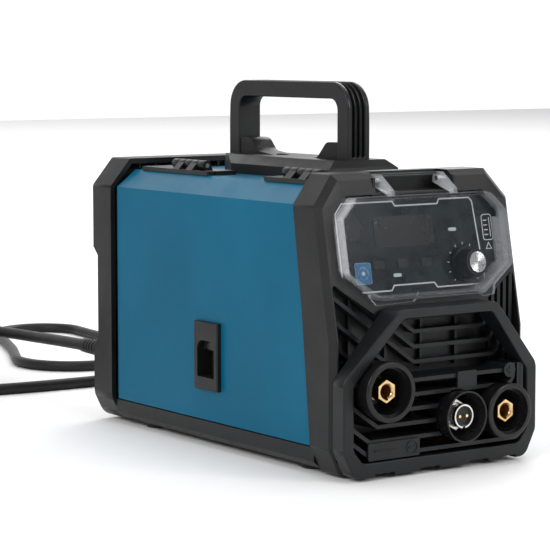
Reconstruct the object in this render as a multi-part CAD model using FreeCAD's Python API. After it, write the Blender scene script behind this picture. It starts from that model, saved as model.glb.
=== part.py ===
import FreeCAD, Part
import math
import os

# Portable inverter welder for wire: a blue sheet-steel body between two black moulded end frames.
# Millimetres. The front is at -Y, the left side (the door) at -X, +Z is up.
# The origin is under the middle of the body, on the surface that it stands on.

V = FreeCAD.Vector

# ---------------------------------------------------------------- driving dimensions
HALF_WIDTH = 82.0            # outside of the moulded frames
SKIN_HALF = 79.0             # outside of the blue sheet metal
FRONT_Y = -158.6             # rims of the sockets
REAR_Y = 158.6               # back edge of the rear frame
FRAME_BOTTOM = 2.0
SHOULDER_Z = 176.0           # where the chamfered shoulders begin
FRAME_TOP = 196.0
FRAME_TOP_HALF = 65.0
DECK_Z = 188.0               # top of the blue cover
DECK_HALF = 63.0
SKIN_BOTTOM = 19.4
SHEET = 1.2
WALL = 4.0                   # moulded walls

KINK_Z = 90.0                # the front is upright below this height and leans back above it
LEAN = 0.197                 # how far it leans back per millimetre of height
FACE_Y = -137.0              # the front face below the kink
PANEL_DROP = 7.0             # the display panel lies this far behind the face
BEVEL = 4.0

RING_Y = -149.4              # front of the lower ring
RING_TOP_Y = -156.0
RING_SHOULDER_Z = 65.7
RING_TOP_Z = 110.5
RING_TOP_HALF = 41.0
GRILLE_Y = -131.0            # front edges of the slats
SLAT_DEPTH = 9.0
SLAT_THICK = 2.6
SLAT_PITCH = 10.1
SLAT_COUNT = 9
FIRST_SLAT_Z = 91.5
LOW_GRILLE_Y = -147.8        # the lower slats come forward round the sockets
LOW_SLAT_PITCH = 9.35
LOW_SLAT_COUNT = 6
LOW_FIRST_SLAT_Z = 62.4
LOW_REGION_Z = 66.5

REAR_FRAME_Y = 133.5
REAR_PANEL_Y = 145.5
REAR_PANEL_THICK = 2.5

HINGE_X = -55.0
HINGE_Z = 194.3
KNUCKLE_RADIUS = 3.5
PIN_RADIUS = 1.5
RUNNING = 0.05               # radial clearance of a pin that turns

HANDLE_REAR = 84.4
HANDLE_FRONT = -57.7
HANDLE_TOP = 254.0
HANDLE_HALF = 9.5
HANDLE_SCREWS_Y = (-15.0, 31.0)

PARTITION_X = -18.0
WIRE_X = -50.0               # line of the welding wire
WIRE_Z = 58.0
WIRE_RADIUS = 0.4
SPOOL_Y = 72.0
SPOOL_Z = 100.0

KNOB_X = 41.0
KNOB_Z = 132.3

CORD_DIAMETER = 9.0
COIL_CENTRE = (-120.0, 352.0)
COIL_RADIUS = 45.0           # at the middle of the cord
COIL_ENTRY_DEG = 30.0
COIL_EXIT_DEG = -101.0
COIL_TURNS = 5.0 + (COIL_EXIT_DEG - COIL_ENTRY_DEG) / 360.0

GLAND_X = -66.0
GLAND_Z = 50.0
RELIEF_END_Y = 200.0


# ---------------------------------------------------------------- helpers
def box(x0, x1, y0, y1, z0, z1):
    return Part.makeBox(x1 - x0, y1 - y0, z1 - z0, V(x0, y0, z0))


def rod(start, axis, radius, length):
    return Part.makeCylinder(radius, length, V(*start), V(*axis))


def tube(start, axis, outer, inner, length):
    return rod(start, axis, outer, length).cut(rod(start, axis, inner, length))


def extrude(points, plane, low, high):
    """A closed outline of (a, b) points: plane "XZ" is extruded along Y, "YZ" along X, "XY" along Z."""
    place = {"XZ": lambda a, b: V(a, low, b), "YZ": lambda a, b: V(low, a, b), "XY": lambda a, b: V(a, b, low)}
    along = {"XZ": V(0, high - low, 0), "YZ": V(high - low, 0, 0), "XY": V(0, 0, high - low)}
    corners = [place[plane](a, b) for a, b in points]
    face = Part.Face(Part.makePolygon(corners + corners[:1]))
    return face.extrude(along[plane])


def rounded(points, radii):
    """Edges of a closed 2-D outline whose corners are rounded: (point list, arc middles) as (a, b) pairs."""
    count = len(points)
    pieces = []
    for i in range(count):
        before = points[i - 1]
        here = points[i]
        after = points[(i + 1) % count]
        radius = radii[i]
        back = (before[0] - here[0], before[1] - here[1])
        on = (after[0] - here[0], after[1] - here[1])
        back_length = math.hypot(*back)
        on_length = math.hypot(*on)
        back = (back[0] / back_length, back[1] / back_length)
        on = (on[0] / on_length, on[1] / on_length)
        if radius <= 0:
            pieces.append((here, here, here))
            continue
        half = math.acos(max(-1.0, min(1.0, back[0] * on[0] + back[1] * on[1]))) / 2
        reach = radius / math.tan(half)
        start = (here[0] + back[0] * reach, here[1] + back[1] * reach)
        end = (here[0] + on[0] * reach, here[1] + on[1] * reach)
        bisector = (back[0] + on[0], back[1] + on[1])
        size = math.hypot(*bisector)
        depth = radius / math.sin(half) - radius
        middle = (here[0] + bisector[0] / size * depth, here[1] + bisector[1] / size * depth)
        pieces.append((start, middle, end))
    return pieces


def extrude_rounded(points, radii, plane, low, high):
    """As extrude, with one corner radius per point."""
    place = {"XZ": lambda a, b: V(a, low, b), "YZ": lambda a, b: V(low, a, b), "XY": lambda a, b: V(a, b, low)}
    along = {"XZ": V(0, high - low, 0), "YZ": V(high - low, 0, 0), "XY": V(0, 0, high - low)}
    pieces = rounded(points, radii)
    edges = []
    for i, (start, middle, end) in enumerate(pieces):
        following = pieces[(i + 1) % len(pieces)][0]
        if start != end:
            edges.append(Part.Arc(place[plane](*start), place[plane](*middle), place[plane](*end)).toShape())
        if math.hypot(following[0] - end[0], following[1] - end[1]) > 1e-6:
            edges.append(Part.LineSegment(place[plane](*end), place[plane](*following)).toShape())
    return Part.Face(Part.Wire(edges)).extrude(along[plane])


def hexagon(centre, across_flats, length, axis):
    """A hexagonal prism from centre along axis "X", "Y" or "Z", with corners up and down."""
    corner = across_flats / math.sqrt(3)
    ring = [(corner * math.sin(math.radians(60 * i)), corner * math.cos(math.radians(60 * i))) for i in range(6)]
    if axis == "Y":
        return extrude([(centre[0] + a, centre[2] + b) for a, b in ring], "XZ", centre[1], centre[1] + length)
    if axis == "X":
        return extrude([(centre[1] + a, centre[2] + b) for a, b in ring], "YZ", centre[0], centre[0] + length)
    return extrude([(centre[0] + a, centre[1] + b) for a, b in ring], "XY", centre[2], centre[2] + length)


def joined(shapes):
    result = shapes[0]
    if len(shapes) > 1:
        result = shapes[0].multiFuse(shapes[1:])
    return result.removeSplitter()


def loose(shapes):
    """Separate solids that share one node."""
    return Part.makeCompound(shapes)


def lean_y(face_y, z):
    """Y of the leaning front plane whose upright part is at face_y."""
    return face_y + LEAN * max(0.0, z - KINK_Z)


def front_profile(face_y, rear_points, low, high):
    """Side view (y, z) of something between the leaning front plane and a list of rear points, top to bottom."""
    front = [(face_y, low), (face_y, KINK_Z), (lean_y(face_y, high), high)]
    return front + rear_points


def moved_in(points, distance):
    """A closed convex outline with every side moved inwards; the points run clockwise."""
    count = len(points)
    lines = []
    for i in range(count):
        a, b = points[i], points[(i + 1) % count]
        size = math.hypot(b[0] - a[0], b[1] - a[1])
        inward = ((b[1] - a[1]) / size, -(b[0] - a[0]) / size)
        lines.append((inward, inward[0] * a[0] + inward[1] * a[1] + distance))
    result = []
    for i in range(count):
        (a0, a1), c = lines[i - 1]
        (b0, b1), d = lines[i]
        size = a0 * b1 - a1 * b0
        result.append(((c * b1 - a1 * d) / size, (a0 * d - c * b0) / size))
    return result


def side_frame_outline(inset):
    """Outline (x, z) of both end frames, with small bottom corners, inset on all sides."""
    outline = [
        (-HALF_WIDTH, 20.0), (-HALF_WIDTH, SHOULDER_Z), (-FRAME_TOP_HALF, FRAME_TOP), (FRAME_TOP_HALF, FRAME_TOP),
        (HALF_WIDTH, SHOULDER_Z), (HALF_WIDTH, 20.0), (73.0, FRAME_BOTTOM), (-73.0, FRAME_BOTTOM)]
    return moved_in(outline, inset)


PARTS = {}

# ---------------------------------------------------------------- front moulding
BEZEL_REAR = [(-91.0, FRAME_TOP), (-94.0, SHOULDER_Z), (-104.0, 107.0), (-113.0, 20.0), (-114.0, FRAME_BOTTOM)]
DISPLAY_OPENING = [
    (-58.0, 182.0), (58.0, 182.0), (70.5, 169.5), (70.5, 132.0), (43.5, 113.0), (-43.5, 113.0), (-70.5, 132.0),
    (-70.5, 169.5)]
GRILLE_WINDOW = [
    (-77.0, 127.5), (-38.0, 100.0), (38.0, 100.0), (77.0, 127.5), (77.0, 12.0), (70.0, 7.0), (-70.0, 7.0),
    (-77.0, 12.0)]
NOTCH_HALF = 33.0
NOTCH_FLOOR = 183.0
NOTCH_BACK = -101.0
COVER_AXIS_Y = -110.5
COVER_AXIS_Z = 190.5
ARM_HALF = 28.0              # outer faces of the cover's hinge arms
ARM_THICK = 3.0


def prismoid(front, back):
    """Solid between two closed loops of 3-D points whose sides are parallel, edge by edge."""
    count = len(front)
    faces = [Part.Face(Part.makePolygon(front + front[:1])), Part.Face(Part.makePolygon(back + back[:1]))]
    for i in range(count):
        j = (i + 1) % count
        faces.append(Part.Face(Part.makePolygon([front[i], front[j], back[j], back[i], front[i]])))
    return Part.makeSolid(Part.makeShell(faces))


def bevelled_front(lean, low, high):
    """Front end of the moulding with its bevelled rim, for the upright or the leaning part."""
    loops = []
    for inset, y in ((BEVEL, FACE_Y), (0.0, FACE_Y + BEVEL), (0.0, FACE_Y + 70.0)):
        loops.append([V(x, y + lean * (z - KINK_Z), z) for x, z in side_frame_outline(inset)])
    solid = prismoid(loops[0], loops[1]).fuse(prismoid(loops[1], loops[2]))
    return solid.common(box(-100, 100, -200, 0, low, high))


def make_front_bezel():
    outline = extrude_rounded(side_frame_outline(0), [3, 3, 2, 2, 3, 3, 4, 4], "XZ", -160, -80)
    side = extrude(front_profile(FACE_Y, BEZEL_REAR, FRAME_BOTTOM, FRAME_TOP), "YZ", -90, 90)
    front = bevelled_front(0.0, 0.0, KINK_Z).fuse(bevelled_front(LEAN, KINK_Z, 200.0))
    body = front.common(outline).common(side)
    hollow = extrude(side_frame_outline(WALL), "XZ", -170, -80)
    hollow_side = front_profile(FACE_Y + PANEL_DROP, [(-80, FRAME_TOP), (-80, FRAME_BOTTOM)], FRAME_BOTTOM, FRAME_TOP)
    body = body.cut(hollow.common(extrude(hollow_side, "YZ", -90, 90)))
    body = body.cut(extrude_rounded(DISPLAY_OPENING, [3] * 8, "XZ", -170, -80))
    body = body.cut(extrude_rounded(GRILLE_WINDOW, [2] * 8, "XZ", -170, -80))
    pocket = box(-NOTCH_HALF - 2, NOTCH_HALF + 2, NOTCH_BACK - 17, NOTCH_BACK + 2, NOTCH_FLOOR - 2, FRAME_TOP - WALL + 1)
    body = body.fuse(pocket)
    body = body.cut(box(-NOTCH_HALF, NOTCH_HALF, -140, NOTCH_BACK, NOTCH_FLOOR, FRAME_TOP + 1))
    neck_outer = extrude(side_frame_outline(WALL + 1.5), "XZ", -112, -99)
    neck_inner = extrude(side_frame_outline(WALL + 3.0), "XZ", -113, -98)
    neck = neck_outer.cut(neck_inner).common(box(-90, 90, -112, -99, 30, 165))
    body = body.fuse(neck)
    body = body.cut(rod((-40, COVER_AXIS_Y, COVER_AXIS_Z), (1, 0, 0), PIN_RADIUS, 80))
    return body.removeSplitter()


RING_INNER = [
    (-73.4, 62.0), (-37.5, 104.0), (37.5, 104.0), (73.4, 62.0), (73.4, 21.0), (66.0, 12.0), (-66.0, 12.0),
    (-73.4, 21.0)]


def make_bumper_ring():
    outer = [
        (-HALF_WIDTH, RING_SHOULDER_Z), (-RING_TOP_HALF, RING_TOP_Z), (RING_TOP_HALF, RING_TOP_Z),
        (HALF_WIDTH, RING_SHOULDER_Z), (HALF_WIDTH, 20.0), (73.0, FRAME_BOTTOM), (-73.0, FRAME_BOTTOM),
        (-HALF_WIDTH, 20.0)]
    ring = extrude_rounded(outer, [9, 10, 10, 9, 8, 9, 9, 8], "XZ", -165, FACE_Y + 0.2)
    side = [
        (RING_Y, FRAME_BOTTOM - 1), (RING_Y, RING_SHOULDER_Z), (RING_TOP_Y, RING_TOP_Z + 1),
        (FACE_Y, RING_TOP_Z + 1), (FACE_Y, FRAME_BOTTOM - 1)]
    ring = ring.common(extrude(side, "YZ", -90, 90))
    ring = ring.cut(extrude_rounded(RING_INNER, [5, 6, 6, 5, 5, 5, 5, 5], "XZ", -170, -120))
    for x0, x1 in ((-56, -40), (-18, -2), (24, 40), (52, 64)):
        ring = ring.cut(box(x0, x1, -160, -139, FRAME_BOTTOM - 1, FRAME_BOTTOM + 1.8))
    return ring


def slat_bars(z, bend_x, right_x, front_y, top_z):
    """One slat: level in the middle, rising up to the left, turned up at the right; it runs back to the plate."""
    turn = 6.0
    half = SLAT_THICK / 2
    rise = 0.70
    rear_y = GRILLE_Y + SLAT_DEPTH
    left_z = z + rise * (bend_x + 80.0)
    stretch = half * (math.sqrt(1 + rise * rise))
    kink = half * (math.sqrt(1 + rise * rise) - 1) / rise
    outline = [
        (-80.0, left_z - stretch), (bend_x - kink, z - half), (right_x - turn, z - half)]
    inner = [(right_x - turn, z + half), (bend_x + kink, z + half), (-80.0, left_z + stretch)]
    bars = [extrude(outline + inner, "XZ", front_y, rear_y)]
    elbow_centre = (right_x - turn, front_y, z + turn)
    elbow = tube(elbow_centre, (0, 1, 0), turn + half, turn - half, rear_y - front_y)
    bars.append(elbow.common(box(right_x - turn, right_x + 5, front_y, rear_y, z - 5, z + turn)))
    bars.append(box(right_x - half, right_x + half, front_y, rear_y, z + turn, top_z))
    return bars


CUPS = {"left": (-50.5, 58.0, 20.0), "right": (50.8, 36.0, 19.0)}
GUN_X = 13.0
GUN_Z = 36.0
GUN_CUP_RADIUS = 17.2
CUP_BACK_Y = GRILLE_Y + SLAT_DEPTH + 2.0


def make_front_grille():
    """Moulded insert: a closed back plate with slats, which stand further forward inside the ring."""
    rear = GRILLE_Y + SLAT_DEPTH
    window = extrude_rounded(GRILLE_WINDOW, [2] * 8, "XZ", -150, -110)
    plate = window.common(box(-80, 80, rear - 0.5, rear + 1.5, 5, 130))
    upper = []
    for i in range(SLAT_COUNT):
        z = FIRST_SLAT_Z - SLAT_PITCH * i
        bend_x = max(-40.0, min(-10.0, -10.0 - 0.8 * (70.0 - z)))
        upper += slat_bars(z, bend_x, min(53.0 + 5.2 * i, 74.0), GRILLE_Y, 140.0)
    for x in (-60.0, -30.0, 0.0, 30.0, 60.0):
        upper.append(box(x - 1, x + 1, rear - 4, rear + 1, 5, 130))
    inside_ring = extrude(moved_in(RING_INNER, 0.3), "XZ", -160, rear)
    low_region = inside_ring.common(box(-80, 80, -160, rear, 0, LOW_REGION_Z))
    high = joined(upper).common(window).cut(low_region)
    lower = []
    for i in range(LOW_SLAT_COUNT):
        z = LOW_FIRST_SLAT_Z - LOW_SLAT_PITCH * i
        bend_x = max(-60.0, -24.0 - 1.05 * (62.4 - z))
        lower += slat_bars(z, bend_x, min(58.0 + 4.5 * i, 70.0), LOW_GRILLE_Y, 80.0)
    low = joined(lower).common(low_region)
    grille = plate.fuse(high).fuse(low)
    for x, z, radius in CUPS.values():
        grille = grille.cut(rod((x, -152, z), (0, 1, 0), radius + 0.05, 60))
    grille = grille.cut(rod((GUN_X, -152, GUN_Z), (0, 1, 0), GUN_CUP_RADIUS + 0.05, 60))
    solids = sorted(grille.removeSplitter().Solids, key=lambda solid: solid.Volume)
    return solids[-1]


def make_socket_cup(x, z, radius):
    """Insulating cup of a cable socket: raised rim, funnel mouth, floor with a hole for the brass."""
    length = CUP_BACK_Y - FRONT_Y
    body = Part.makeCone(radius, radius - 3.0, length, V(x, FRONT_Y, z), V(0, 1, 0))
    body = body.makeFillet(1.2, [e for e in body.Edges if abs(e.BoundBox.YMax - FRONT_Y) < 0.01])
    mouth = radius - 3.6
    body = body.cut(rod((x, FRONT_Y, z), (0, 1, 0), mouth, 4.0))
    body = body.cut(Part.makeCone(mouth - 1.2, mouth - 5.0, 18.0, V(x, FRONT_Y + 4.0, z), V(0, 1, 0)))
    body = body.cut(rod((x, FRONT_Y, z), (0, 1, 0), 7.0, length))
    return body.removeSplitter()


BRASS_BORE = 4.25
BRASS_FRONT = FRONT_Y + 5.2
BRASS_BORE_LENGTH = 26.0


def make_brass_socket(x, z):
    """Brass insert: hexagonal nose, round body with a bore and a locking keyway, threaded tail."""
    nose = hexagon((x, BRASS_FRONT, z), 13.2, 12.0, "Y")
    body = nose.fuse(rod((x, BRASS_FRONT + 10, z), (0, 1, 0), 7.0, CUP_BACK_Y + 16 - BRASS_FRONT - 10))
    body = body.cut(rod((x, BRASS_FRONT, z), (0, 1, 0), BRASS_BORE, BRASS_BORE_LENGTH))
    body = body.cut(Part.makeCone(5.3, BRASS_BORE, 1.2, V(x, BRASS_FRONT, z), V(0, 1, 0)))
    body = body.cut(box(x - 1.3, x + 1.3, BRASS_FRONT, BRASS_FRONT + 14, z - 5.8, z - 3))
    return body.removeSplitter()


def make_gun_cup():
    length = CUP_BACK_Y - FRONT_Y
    body = Part.makeCone(GUN_CUP_RADIUS, GUN_CUP_RADIUS - 3.0, length, V(GUN_X, FRONT_Y, GUN_Z), V(0, 1, 0))
    funnel = Part.makeCone(GUN_CUP_RADIUS - 1.2, 11.0, 24.0, V(GUN_X, FRONT_Y, GUN_Z), V(0, 1, 0))
    body = body.cut(funnel)
    return body.cut(rod((GUN_X, FRONT_Y, GUN_Z), (0, 1, 0), 8.0, length)).removeSplitter()


GUN_RADIUS = 8.0             # outside of the thread
GUN_FRONT = FRONT_Y + 3.2


def make_gun_parts():
    """Nickel shell, its lock nut, the black insert and two pins."""
    start = (GUN_X, GUN_FRONT, GUN_Z)
    shell = tube(start, (0, 1, 0), GUN_RADIUS - 0.02, 6.9, CUP_BACK_Y + 12 - GUN_FRONT)
    for i in range(6):
        groove_y = GUN_FRONT + 3.2 + 1.6 * i
        shell = shell.cut(tube((GUN_X, groove_y, GUN_Z), (0, 1, 0), GUN_RADIUS + 1, GUN_RADIUS - 0.5, 0.7))
    shell = shell.cut(box(GUN_X - 1.2, GUN_X + 1.2, GUN_FRONT - 1, GUN_FRONT + 5, GUN_Z - 9, GUN_Z - 5))
    nut = hexagon((GUN_X, FRONT_Y + 11.4, GUN_Z), 18.4, 3.6, "Y")
    nut = nut.cut(rod((GUN_X, FRONT_Y, GUN_Z), (0, 1, 0), GUN_RADIUS - 0.02, 40))
    insert = rod((GUN_X, GUN_FRONT + 2.4, GUN_Z), (0, 1, 0), 6.9, 20)
    pins = []
    for side in (-1, 1):
        pin_start = (GUN_X + side * 3.0, GUN_FRONT + 0.6, GUN_Z)
        pins.append(rod(pin_start, (0, 1, 0), 1.0, 1.8))
    return shell, nut, insert, loose(pins)


def make_marking_plates():
    """Raised bare pads over the lower slats, with plain polarity marks."""
    y = LOW_GRILLE_Y - 1.5
    plate = extrude_rounded(
        [(-62, 13.0), (-62, 24.4), (-19.5, 24.4), (-19.5, 13.0)], [1.2] * 4, "XZ", y, LOW_GRILLE_Y)
    disc_ring = tube((-26.0, y - 0.5, 18.8), (0, 1, 0), 4.6, 3.9, 0.9)
    minus = box(-28.6, -23.4, y - 0.5, y + 0.4, 18.2, 19.4)
    arrow = box(-57.0, -38.0, y - 0.5, y + 0.4, 18.3, 19.3)
    lower = joined([plate, disc_ring, minus, arrow])
    middle = extrude_rounded(
        [(12.5, 54.3), (12.5, 65.0), (28.9, 65.0), (28.9, 54.3)], [1.2] * 4, "XZ", y, LOW_GRILLE_Y)
    disc = rod((58.0, y, 62.4), (0, 1, 0), 5.0, 1.5)
    plus = joined([
        disc, box(55.4, 60.6, y - 0.5, y + 0.2, 61.8, 63.0), box(57.4, 58.6, y - 0.5, y + 0.2, 59.8, 65.0)])
    return loose([lower, middle, plus])


def leaning_plate(points, face_y, thickness, radii):
    """A plate behind the leaning plane at face_y, with its outline given as (x, z)."""
    low = min(z for _, z in points) - 1
    high = max(z for _, z in points) + 1
    side = [
        (lean_y(face_y, low), low), (lean_y(face_y, high), high),
        (lean_y(face_y + thickness, high), high), (lean_y(face_y + thickness, low), low)]
    return extrude_rounded(points, radii, "XZ", -180, -60).common(extrude(side, "YZ", -95, 95))


def lean_point(x, z, face_y, out=0.0):
    """A point on the leaning plane, moved out along its normal."""
    size = math.hypot(1, LEAN)
    return V(x, lean_y(face_y, z) - out / size, z + out * LEAN / size)


LEAN_NORMAL = V(0, -1 / math.hypot(1, LEAN), LEAN / math.hypot(1, LEAN))
PANEL_Y = FACE_Y + PANEL_DROP
PANEL_OUTLINE = [
    (-59.0, 184.0), (59.0, 184.0), (72.5, 170.5), (72.5, 131.0), (44.0, 110.5), (-44.0, 110.5), (-72.5, 131.0),
    (-72.5, 170.5)]


def make_display_panel():
    panel = leaning_plate(PANEL_OUTLINE, PANEL_Y, 2.4, [3] * 8)
    hole = Part.makeCylinder(4.5, 20, lean_point(KNOB_X, KNOB_Z, PANEL_Y, 8.0), LEAN_NORMAL * -1)
    panel = panel.cut(hole)
    return panel.cut(box(-NOTCH_HALF - 2.3, NOTCH_HALF + 2.3, -140, -90, NOTCH_FLOOR - 2.3, 190))


def make_control_board():
    outline = [(-56, 126), (-56, 174), (56, 174), (56, 126)]
    board = leaning_plate(outline, PANEL_Y + 10, 1.6, [2] * 4)
    chips = []
    for x, z, wide, high in ((-38, 155, 16, 12), (-8, 158, 30, 12), (20, 140, 10, 10), (-30, 137, 8, 14)):
        block = [(x - wide / 2, z - high / 2), (x - wide / 2, z + high / 2), (x + wide / 2, z + high / 2),
                 (x + wide / 2, z - high / 2)]
        chips.append(leaning_plate(block, PANEL_Y + 7, 3.1, [0.5] * 4))
    return joined([board] + chips)


def make_encoder():
    """Rotary encoder on the board, with a threaded bush through the panel."""
    body = Part.makeCylinder(6.5, 6.8, lean_point(KNOB_X, KNOB_Z, PANEL_Y, -9.8), LEAN_NORMAL)
    bush = Part.makeCylinder(3.5, 13.0, lean_point(KNOB_X, KNOB_Z, PANEL_Y, -9.8), LEAN_NORMAL)
    shaft_hole = Part.makeCylinder(2.05, 30.0, lean_point(KNOB_X, KNOB_Z, PANEL_Y, -8.0), LEAN_NORMAL)
    return body.fuse(bush).cut(shaft_hole).removeSplitter()


def make_knob():
    """Fluted black knob with a flat skirt, on its own shaft."""
    skirt = Part.makeCylinder(12.0, 2.2, lean_point(KNOB_X, KNOB_Z, PANEL_Y, 1.0), LEAN_NORMAL)
    body = Part.makeCone(10.2, 9.0, 9.9, lean_point(KNOB_X, KNOB_Z, PANEL_Y, 3.1), LEAN_NORMAL)
    hollow = Part.makeCylinder(4.2, 5.0, lean_point(KNOB_X, KNOB_Z, PANEL_Y, 0.5), LEAN_NORMAL)
    knob = skirt.fuse(body).cut(hollow)
    base = lean_point(KNOB_X, KNOB_Z, PANEL_Y, 4.2)
    for i in range(12):
        angle = math.radians(30 * i)
        side = V(1, 0, 0) * math.cos(angle) + LEAN_NORMAL.cross(V(1, 0, 0)) * math.sin(angle)
        knob = knob.cut(Part.makeCylinder(1.2, 16.0, base + side * 10.9, LEAN_NORMAL))
    shaft = Part.makeCylinder(2.0, 13.0, lean_point(KNOB_X, KNOB_Z, PANEL_Y, -7.4), LEAN_NORMAL)
    return knob.fuse(shaft).removeSplitter()


def make_knob_cap():
    return Part.makeCylinder(7.0, 1.0, lean_point(KNOB_X, KNOB_Z, PANEL_Y, 13.0), LEAN_NORMAL)


# ---------------------------------------------------------------- clear flip cover
COVER_FRONT_Y = FACE_Y - 10.0
COVER_OUTLINE = [
    (-57.0, 181.0), (57.0, 181.0), (69.5, 168.5), (69.5, 133.0), (44.0, 114.6), (-44.0, 114.6), (-69.5, 133.0),
    (-69.5, 168.5)]
COVER_WALL = 1.8


def make_clear_cover():
    depth = COVER_FRONT_Y - PANEL_Y + 0.6
    tray = leaning_plate(COVER_OUTLINE, COVER_FRONT_Y, -depth, [4] * 8)
    inner = []
    for x, z in COVER_OUTLINE:
        inner.append((x * (1 - COVER_WALL / 69.5), 148 + (z - 148) * (1 - COVER_WALL / 33.0)))
    tray = tray.cut(leaning_plate(inner, COVER_FRONT_Y + COVER_WALL, 40.0, [3] * 8))
    top_edge = [(-80.0, 163.0), (-80.0, 190.0), (80.0, 190.0), (80.0, 163.0)]
    tray = tray.cut(leaning_plate(top_edge, FACE_Y - 0.6, 14.0, [1] * 4))
    tab_low = [(-56.0, 119.4), (-12.0, 119.4), (-19.0, 113.0), (-50.0, 112.2)]
    tab_small = [(38.0, 116.0), (52.0, 122.0), (50.0, 113.6), (40.0, 112.6)]
    tabs = [leaning_plate(points, COVER_FRONT_Y, 2.4, [1] * 4) for points in (tab_low, tab_small)]
    arms = []
    for side in (-1, 1):
        near = side * ARM_HALF
        far = side * (ARM_HALF - ARM_THICK)
        arm = [
            (lean_y(COVER_FRONT_Y, 177.0), 177.0), (lean_y(COVER_FRONT_Y, 184.5), 184.5),
            (COVER_AXIS_Y - 3.5, COVER_AXIS_Z + 4.2), (COVER_AXIS_Y + 3.6, COVER_AXIS_Z + 4.2),
            (COVER_AXIS_Y + 4.2, COVER_AXIS_Z - 2.5), (COVER_AXIS_Y - 0.5, COVER_AXIS_Z - 4.2),
            (lean_y(COVER_FRONT_Y, 177.0) + 6.5, 182.2), (lean_y(COVER_FRONT_Y, 177.0) + 2.0, 177.0)]
        arms.append(extrude(arm, "YZ", min(near, far), max(near, far)))
    strap = box(-ARM_HALF, ARM_HALF, COVER_AXIS_Y - 3.5, COVER_AXIS_Y + 3.6, COVER_AXIS_Z + 2.8, COVER_AXIS_Z + 4.2)
    cover = joined([tray] + tabs + arms + [strap])
    return cover.cut(rod((-60, COVER_AXIS_Y, COVER_AXIS_Z), (1, 0, 0), PIN_RADIUS + RUNNING, 120)).removeSplitter()


def make_cover_pins():
    """A steel pin at each side, from the notch's wall into the arm."""
    reach = NOTCH_HALF + 2 - ARM_HALF + ARM_THICK
    left = rod((-NOTCH_HALF - 2, COVER_AXIS_Y, COVER_AXIS_Z), (1, 0, 0), PIN_RADIUS, reach)
    right = rod((NOTCH_HALF + 2, COVER_AXIS_Y, COVER_AXIS_Z), (-1, 0, 0), PIN_RADIUS, reach)
    return [left, right]


# ---------------------------------------------------------------- rear
FAN_X = 24.0
FAN_Z = 108.0
FAN_RADIUS = 36.0
SWITCH_X = -44.0
SWITCH_Z = 142.0


def make_rear_frame():
    outline = extrude_rounded(side_frame_outline(0), [13, 4, 3, 3, 4, 13, 13, 13], "XZ", REAR_FRAME_Y, REAR_Y)
    hollow = extrude(side_frame_outline(WALL), "XZ", REAR_FRAME_Y - 1, REAR_Y + 1)
    frame = outline.cut(hollow)
    for side in (-1, 1):
        grip = [(REAR_Y - 6.0, 62.0), (REAR_Y - 6.0, 124.0), (REAR_Y + 1, 131.0), (REAR_Y + 1, 55.0)]
        low = min(side * 70.0, side * 90.0)
        frame = frame.cut(extrude(grip, "YZ", low, low + 20.0))
    seat = extrude(side_frame_outline(WALL - 0.5), "XZ", REAR_PANEL_Y - 3, REAR_PANEL_Y)
    seat = seat.cut(extrude(side_frame_outline(WALL + 3.0), "XZ", REAR_PANEL_Y - 4, REAR_PANEL_Y + 1))
    frame = frame.fuse(seat)
    neck = extrude(side_frame_outline(WALL + 1.2), "XZ", 130.0, REAR_PANEL_Y - 3)
    neck = neck.cut(extrude(side_frame_outline(WALL + 2.6), "XZ", 129.0, REAR_PANEL_Y))
    neck = neck.common(box(-90, 90, 129, REAR_PANEL_Y, 22, 170))
    frame = frame.fuse(neck)
    for i in range(9):
        x = -56.0 + 14.0 * i
        frame = frame.fuse(box(x - 0.7, x + 0.7, REAR_FRAME_Y + 0.5, REAR_PANEL_Y - 2, DECK_Z + 0.6, FRAME_TOP - WALL + 0.5))
    frame = frame.removeSplitter()
    return frame.cut(rod((GLAND_X, 120.0, GLAND_Z), (0, 1, 0), 10.3, 50.0))


def make_rear_panel():
    """Moulded back: fan grille, holes for the switch and the gland, four screws' bosses."""
    y = REAR_PANEL_Y
    panel = extrude(side_frame_outline(WALL + 0.05), "XZ", y, y + REAR_PANEL_THICK)
    raised = tube((FAN_X, y, FAN_Z), (0, 1, 0), FAN_RADIUS + 4, FAN_RADIUS + 1, REAR_PANEL_THICK + 1.5)
    panel = panel.fuse(raised)
    slot = 4.2
    step = 7.2
    rows = int(FAN_RADIUS // step)
    for row in range(-rows, rows + 1):
        z = FAN_Z + row * step
        reach = math.sqrt(FAN_RADIUS ** 2 - (abs(row) * step) ** 2) - 3.0
        if reach > 8.0:
            panel = panel.cut(box(FAN_X - reach, FAN_X - 2.0, y - 1, y + 8, z - slot / 2, z + slot / 2))
            panel = panel.cut(box(FAN_X + 2.0, FAN_X + reach, y - 1, y + 8, z - slot / 2, z + slot / 2))
    for column in range(6):
        for row in range(2):
            x = -14.0 + 13.0 * column
            z = 30.0 + 16.0 * row
            panel = panel.cut(box(x - 2.0, x + 2.0, y - 1, y + 8, z - 5.5, z + 5.5))
    panel = panel.cut(box(SWITCH_X - 14.0, SWITCH_X + 14.0, y - 1, y + 8, SWITCH_Z - 10.5, SWITCH_Z + 10.5))
    panel = panel.cut(rod((GLAND_X, y - 1, GLAND_Z), (0, 1, 0), 10.0, 8))
    return panel.removeSplitter()


ROCKER_AXIS_Y = REAR_PANEL_Y + 2.0


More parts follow.
